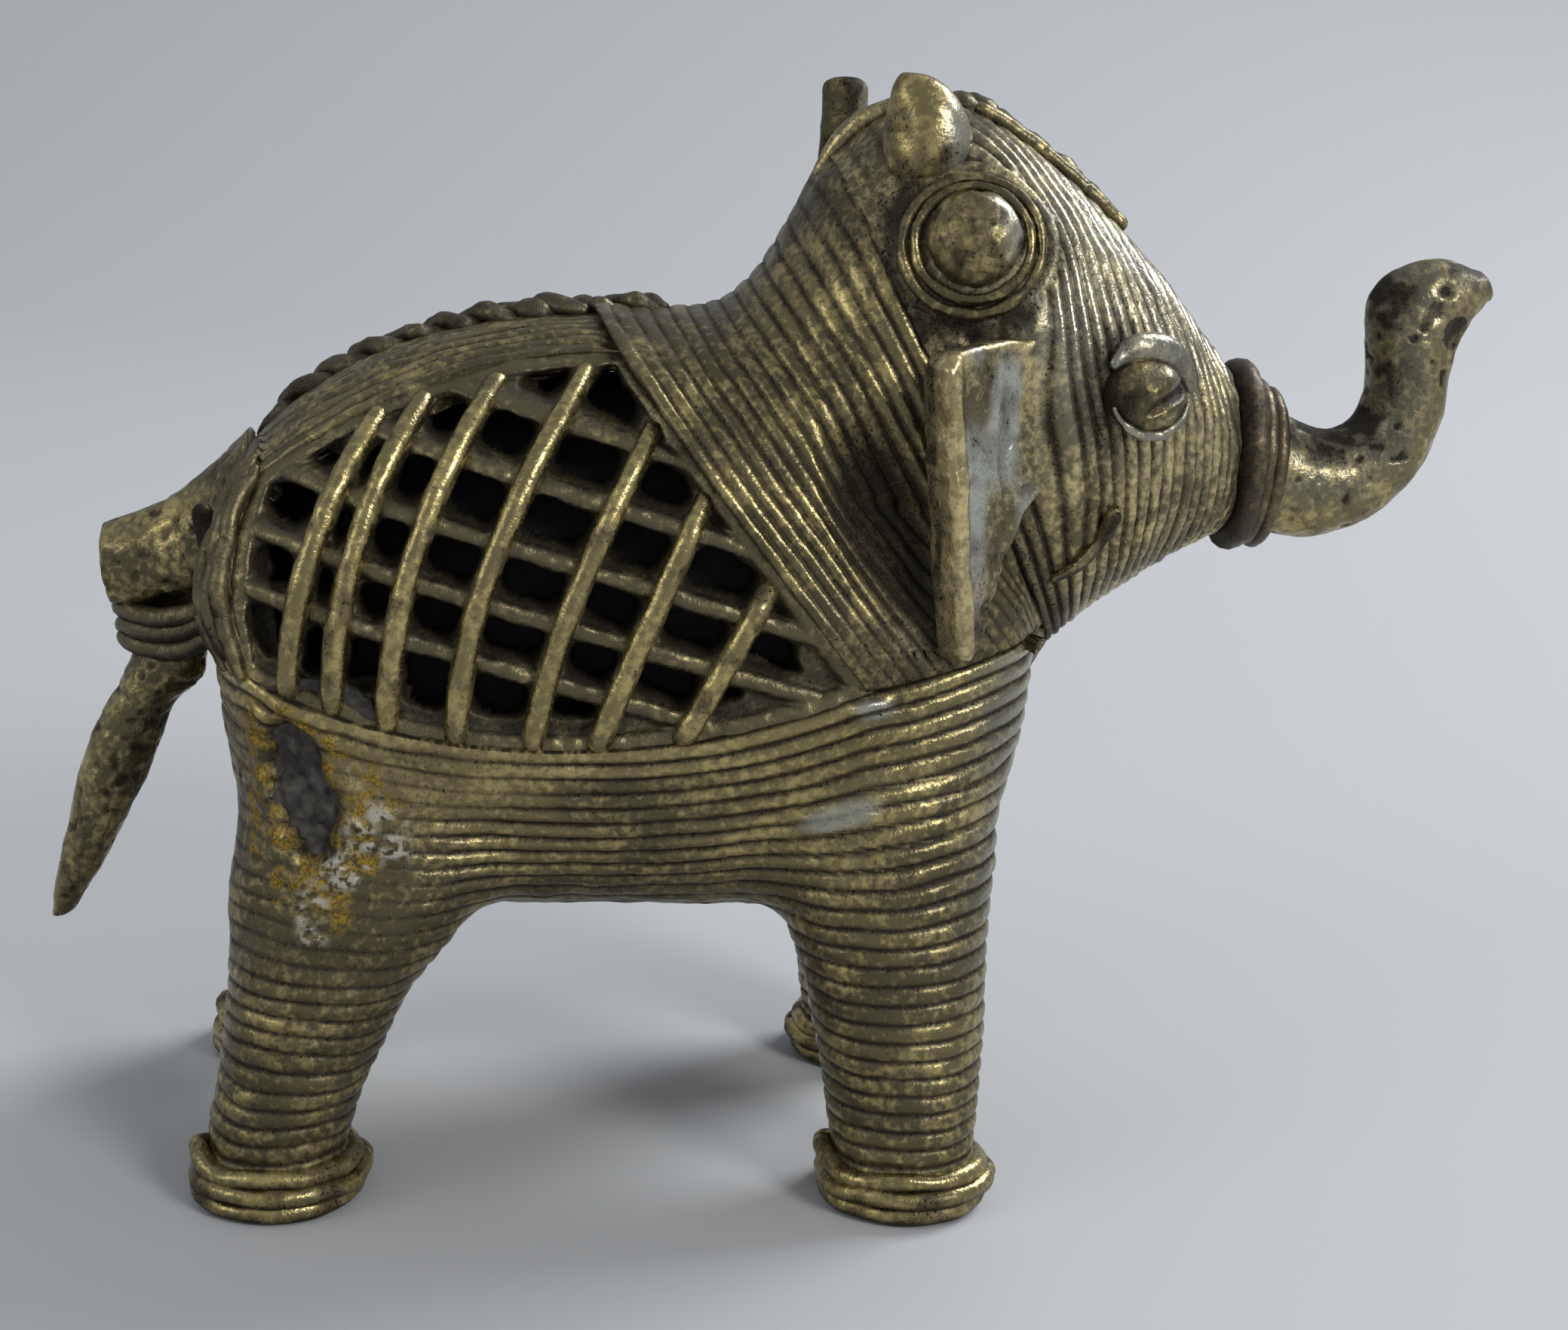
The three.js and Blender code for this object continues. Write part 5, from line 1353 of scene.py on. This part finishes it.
def slabSheet(outline, frame, rings=24):
    # a flat slab with a rounded edge, from an outline in its own plane
    heart = outline[:-1].mean(axis=0)
    turn = np.radians([22, 45, 68, 90])
    face = np.linspace(0, 0.93, rings)
    shrink = np.concatenate([face, 0.93 + 0.07 * np.sin(turn), [1, 1], 0.93 + 0.07 * np.cos(turn - turn[0]),
                             face[::-1]])
    lift = np.concatenate([0 * face + 0.5, 0.26 + 0.24 * np.cos(turn), [0.1, -0.1],
                           -0.26 - 0.24 * np.sin(turn - turn[0]), 0 * face - 0.5])
    flat = heart + (outline - heart) * shrink[:, None, None]
    # the outer edge is a thick band, the face before it is dished
    rim = ear["reach"] * np.interp(flat[..., 1] / ear["height"], earEdge[[5, 4], 1], earEdge[[5, 4], 0])
    across = flat[..., 0] + ear["sunk"]
    band = smoothStep(-ear["band"] - 0.35, -ear["band"] + 0.35, across - rim)
    thickness = ear["thin"] + (ear["thick"] - ear["thin"]) * band
    dish = ear["hollow"] * np.sin(np.pi * np.clip(across / (rim - ear["band"]), 0, 1))
    local = np.stack([flat[..., 0], lift[:, None] * thickness - dish, flat[..., 1]], axis=-1)
    return fromFrame(frame, local), band


for side, name in sideNames.items():
    root = headPoint(ear["u"], ear["degrees"], side)
    sweep = math.radians(ear["sweep"])
    backward = np.array([-math.cos(sweep), side * math.sin(sweep), 0])
    faceOut = np.array([math.sin(sweep), side * math.cos(sweep), 0])
    outline = np.concatenate([earEdge, earEdge[:1]]) * (ear["reach"], ear["height"]) - (ear["sunk"], 0)
    outline = evenly(outline, 220)
    sheet, band = slabSheet(outline, (root, np.stack([backward, faceOut, np.array([0, 0, 1.0])])))
    normals = sheetNormals(sheet, root + backward * 6)
    dents = blotches(sheet, 1.3, 171, 0.1, 0.6)
    push = 0.18 * noise(sheet, 3.0, 172) + 0.06 * noise(sheet, 0.8, 173) - 0.12 * dents
    seam = 4 * band * (1 - band)
    flutes = blotches(sheet * (1, 1, 0.2), 0.7, 175, 0.1, 0.7) * band
    low = smoothStep(3, -6, sheet[..., 2] - root[2])
    behind = (sheet - root) @ faceOut < 0
    # darker towards the lower end; the whole back is darkened with painted shade
    grime = 0.45 * (dents + low) * (1 - band) + 0.4 * blotches(sheet, 1.1, 174, 0.2, 0.6)
    grime = grime + 0.2 * seam + 0.25 * flutes + 0.7 * behind
    # a painted reflection in blotches on the face, weaker towards the lower end
    silver = 1.3 * (1 - band) * (1 - 0.5 * low) * blotches(sheet * (1, 1, 0.5), 2.4, 176, -0.5, 0.3)
    masks = {"grime": np.clip(grime, 0, 1), "gold": 0.9 * band, "silver": silver}
    sheet = pushed(sheet, normals, push)
    layPiece(name + "Ear", [(sheet, masks)], name + "_ear", headBrassPaintedLit)

# crown knobs: a leaning drop on the right, an upright tab on the left

knobs = {right: {"u": 0.17, "degrees": 58, "lean": 0.55, "flatten": 0.85, "sunk": 0.4, "gold": 0.5,
                 "heights": (-3.6, -2.8, -1.4, 0.4, 2.4, 3.9, 4.9, 5.35, 5.45),
                 "radii": (1.0, 2.4, 3.3, 3.45, 3.1, 2.5, 1.7, 0.9, 0)},
         left: {"u": 0.03, "degrees": 58, "lean": 0.0, "flatten": 0.8, "sunk": 0.0, "gold": 0.0,
                "heights": (-2.4, 2.4, 5.4, 7.4, 8.1, 8.3), "radii": (2.1, 2.15, 2.0, 1.9, 1.3, 0)}}
for side, name in sideNames.items():
    knob = knobs[side]
    place = headPoint(knob["u"], knob["degrees"], side)
    rows = catmull(np.stack([knob["heights"], knob["radii"]], axis=-1), np.linspace(0, 1, 44))
    rows = np.concatenate([[(knob["heights"][0], 0)], rows])
    angle = np.linspace(0, 2 * np.pi, 65)
    height, r = rows[:, :1], np.maximum(rows[:, 1:], 0)
    r[-1] = 0
    back = knob["lean"] * (r - max(knob["radii"])) * (height > 0)
    local = [r * np.cos(angle) + back + 0.3, r * knob["flatten"] * np.sin(angle),
             height - knob["sunk"] + 0 * angle]
    sheet = place + np.stack(local, axis=-1)
    sheet = roughen(sheet, place, (0.14, 3.2), (0.05, 0.8))
    # the right knob darkens in blotches towards its foot; a painted highlight lies on the front of each knob
    low = 0.7 * smoothStep(1.8, -1.5, sheet[..., 2] - place[2]) * blotches(sheet, 1.0, 183, -0.5, 0.3)
    grime = 0.6 * blotches(sheet, 1.7, 181, 0.0, 0.5) + (low if side < 0 else 0.6)
    masks = {"grime": np.clip(grime, 0, 1), "gold": knob["gold"],
             "silver": 0.8 * smoothStep(place[0] + 0.6, place[0] + 2.4, sheet[..., 0])}
    layPiece(name + "CrownKnob", [(sheet, masks)], name + "_crown_knob", brightBrass)


# lumpy plaits over crest and spine

def plaitSheets(path, up, halfWidth, height, lumps, seed):
    # two strands that cross over each other
    count = len(path)
    u = np.linspace(0, 1, count)
    across = unit(np.cross(unit(np.gradient(path, axis=0)), up))
    taper = np.interp(u, [0, 0.06, 0.94, 1], [0.55, 1, 1, 0.55])[:, None]
    strands = []
    for turn in (0, np.pi):
        swing = np.sin(np.pi * lumps * u + turn)[:, None]
        rise = np.cos(np.pi * lumps * u + turn)[:, None]
        line = path + across * swing * halfWidth * 0.5 * taper + up * (0.2 + 0.3 * rise) * height * taper
        radius = halfWidth * (0.56 + 0.14 * noise(line, 2.4, seed)) * taper[:, 0]
        strands.append(waxThread(line, radius, path.mean(axis=0), ((0.4, 2.1), (0.14, 0.8)),
                                 (0.65, 1.6, seed + 2, -0.4, 0.4), up=up, flat=0.75))
    return strands


crest = {"halfWidth": 2.2, "height": 1.2, "lumps": 6, "start": 0.27, "stop": 0.6}
border = {"radius": 0.7, "spread": 3.7, "start": 0.32, "stop": 0.61}
spine = {"halfWidth": 2.1, "height": 1.5, "lumps": 11, "rear": -41.4, "bend": -17.0, "front": -9.0}

u = np.linspace(crest["start"], crest["stop"], 90)
path = headPoint(u, 90, right, -0.35) * (1, 0, 1)
up = unit(path - (12, 0, 60))
layPiece("crestBraid", plaitSheets(path, up, crest["halfWidth"], crest["height"], crest["lumps"], 191),
         "crest_braid", darkBrass)
for side, name in sideNames.items():
    path = []
    for u in np.linspace(border["start"], border["stop"], 90):
        ring = np.array([headPoint(u, degrees, side) for degrees in np.linspace(40, 90, 60)])
        path.append(ring[np.argmin(np.abs(np.abs(ring[:, 1]) - border["spread"]))])
    path = evenly(path, 80)
    up = unit(path - (14, 0, 62))
    radius = border["radius"] * (1 + 0.1 * noise(path, 2.0, 195))
    tube, grime = tubeSheet(path + 0.2 * up, radius, 12, up=up)
    tube = roughen(tube, path.mean(axis=0), (0.1, 1.2))
    masks = {"grime": np.clip(grime + 0.2, 0, 1)}
    layPiece(name + "CrestBorder", [(tube, masks)], name + "_crest_border", brass)

x = np.linspace(spine["rear"], spine["front"], 190)
lift = np.interp(x, [spine["rear"], spine["bend"], spine["front"]], [-0.6, -0.2, 0.2])
path = np.stack([x, 0 * x, lift + topZ(x, 0 * x)], axis=-1)
up = np.broadcast_to((0.0, 0.0, 1.0), path.shape)
layPiece("spineBraid", plaitSheets(path, up, spine["halfWidth"], spine["height"], spine["lumps"], 201),
         "spine_braid", darkBrass)

# the clay that shows in the flaw of the right haunch

def flawClay():
    heart = np.array([-36.0, -8.0, 34.5])
    v, turn = np.meshgrid(np.linspace(0, 1, 90), np.linspace(0, 2 * np.pi, 161), indexing="ij")
    reach = v * 1.15
    direction = unit(np.stack([reach * np.cos(turn), -1.25 + 0 * v, 1.1 * reach * np.sin(turn)], axis=-1))
    face = reachSkin(lowerGap, np.broadcast_to(heart, direction.shape), direction)
    depth = 1.15 + 0.6 * noise(face, 1.9, 211) + 0.45 * noise(face, 0.8, 212)
    depth = depth + 2.5 * smoothStep(0.95, 1.15, reach)
    face = pushed(face, direction, -depth)
    closing = [heart + (face[-1] - heart) * shrink for shrink in (0.6, 0.3, 0)]
    return np.concatenate([face, closing])


z, angle = np.meshgrid(np.linspace(haunchZ - 2, 2.6, 24), np.linspace(0, 2 * np.pi, 65), indexing="ij")
core = legRing(right, "rear", z, angle, -leg["wall"] - 0.6)
core = roughen(core, (-36, -stance, 18), (0.3, 2.4))
core, _ = closeSheet(core, {})
layPiece("rightrearCore", [(core, {}), (flawClay(), {})], "right_rear_leg_core", clay)
print("all pieces laid")


# floor, light and camera

skyColour = (0.9, 0.93, 1.0, 1)
skyStrength = 0.5
backdropColour = (0.46, 0.488, 0.515, 1)
paperColour = (0.45, 0.462, 0.474, 1)

sceneWorld = bpy.context.scene.world or bpy.data.worlds.new("studio")
bpy.context.scene.world = sceneWorld
sceneWorld.use_nodes = True
tree = sceneWorld.node_tree
tree.nodes.clear()
output = addNode(tree, "ShaderNodeOutputWorld")
sky = addNode(tree, "ShaderNodeBackground", Color=skyColour, Strength=skyStrength)
backdrop = addNode(tree, "ShaderNodeBackground", Color=backdropColour, Strength=1.0)
rays = addNode(tree, "ShaderNodeLightPath")
chooser = addNode(tree, "ShaderNodeMixShader")
seen = plus(tree, rays.outputs["Is Glossy Ray"], rays.outputs["Is Transmission Ray"])
seen = plus(tree, rays.outputs["Is Camera Ray"], seen)
tree.links.new(sums(tree, "MINIMUM", seen, 1.0), chooser.inputs[0])
tree.links.new(sky.outputs[0], chooser.inputs[1])
tree.links.new(backdrop.outputs[0], chooser.inputs[2])
tree.links.new(chooser.outputs[0], output.inputs[0])

floorMaterial = bpy.data.materials.new("floorPaper")
floorMaterial.use_nodes = True
paper = floorMaterial.node_tree.nodes["Principled BSDF"]
paper.inputs["Base Color"].default_value = paperColour
paper.inputs["Roughness"].default_value = 0.7
# the paper lies flat under the figure and sweeps up far behind it
curve = {"half": 3.0, "start": 0.7, "radius": 1.2}
bm = bmesh.new()
bmesh.ops.create_grid(bm, x_segments=2, y_segments=120, size=curve["half"])
for vert in bm.verts:
    past = vert.co.y - curve["start"]
    if past > 0:
        angle = min(past / curve["radius"], math.pi / 2)
        climb = past - angle * curve["radius"]
        vert.co.y = curve["start"] + curve["radius"] * math.sin(angle)
        vert.co.z = curve["radius"] * (1 - math.cos(angle)) + climb
floorMesh = bpy.data.meshes.new("floor")
bm.to_mesh(floorMesh)
bm.free()
floorMesh.materials.append(floorMaterial)
floorMesh.polygons.foreach_set("use_smooth", [True] * len(floorMesh.polygons))
floor = bpy.data.objects.new("floor", floorMesh)
bpy.context.scene.collection.objects.link(floor)

figureMiddle = Vector((0.0, 0.0, 0.045))


def addLight(name, place, size, power, colour):
    lamp = bpy.data.lights.new(name, "AREA")
    lamp.shape = "DISK"
    lamp.size = size
    lamp.energy = power
    lamp.color = colour
    obj = bpy.data.objects.new(name, lamp)
    obj.location = place
    obj.rotation_euler = (figureMiddle - Vector(place)).to_track_quat("-Z", "Y").to_euler()
    bpy.context.scene.collection.objects.link(obj)


# place in metres, size, watts and colour
lights = {"keyLight": ((1.0, 0.55, 1.15), 0.7, 19.0, (0.97, 0.98, 1.0)),
          "frontLight": ((0.95, -1.1, 0.85), 0.55, 13.0, (1.0, 0.99, 0.97)),
          "fillLight": ((-1.2, -0.7, 0.7), 0.8, 3.0, (1.0, 0.98, 0.94))}
for name, values in lights.items():
    addLight(name, *values)

viewpoint = {"lens": 52.43, "sensor": 36.0, "distance": 195.297, "elevation": 13.4, "azimuth": -4.5,
             "roll": 2.324, "target": (2.244, 0, 41.437)}


def placeCamera():
    e, a, r = (math.radians(viewpoint[key]) for key in ("elevation", "azimuth", "roll"))
    back = Vector((math.sin(a) * math.cos(e), -math.cos(a) * math.cos(e), math.sin(e)))
    level = Vector((math.cos(a), math.sin(a), 0))
    over = back.cross(level)
    across = level * math.cos(r) + over * math.sin(r)
    up = over * math.cos(r) - level * math.sin(r)
    lens = bpy.data.cameras.new("photoCamera")
    lens.lens = viewpoint["lens"]
    lens.sensor_width = viewpoint["sensor"]
    lens.clip_start = 0.01
    camera = bpy.data.objects.new("photoCamera", lens)
    camera.matrix_world = Matrix((across, up, back)).transposed().to_4x4()
    camera.location = (Vector(viewpoint["target"]) + back * viewpoint["distance"]) * mm
    bpy.context.scene.collection.objects.link(camera)
    bpy.context.scene.camera = camera


placeCamera()
bpy.context.scene.view_settings.view_transform = "Standard"
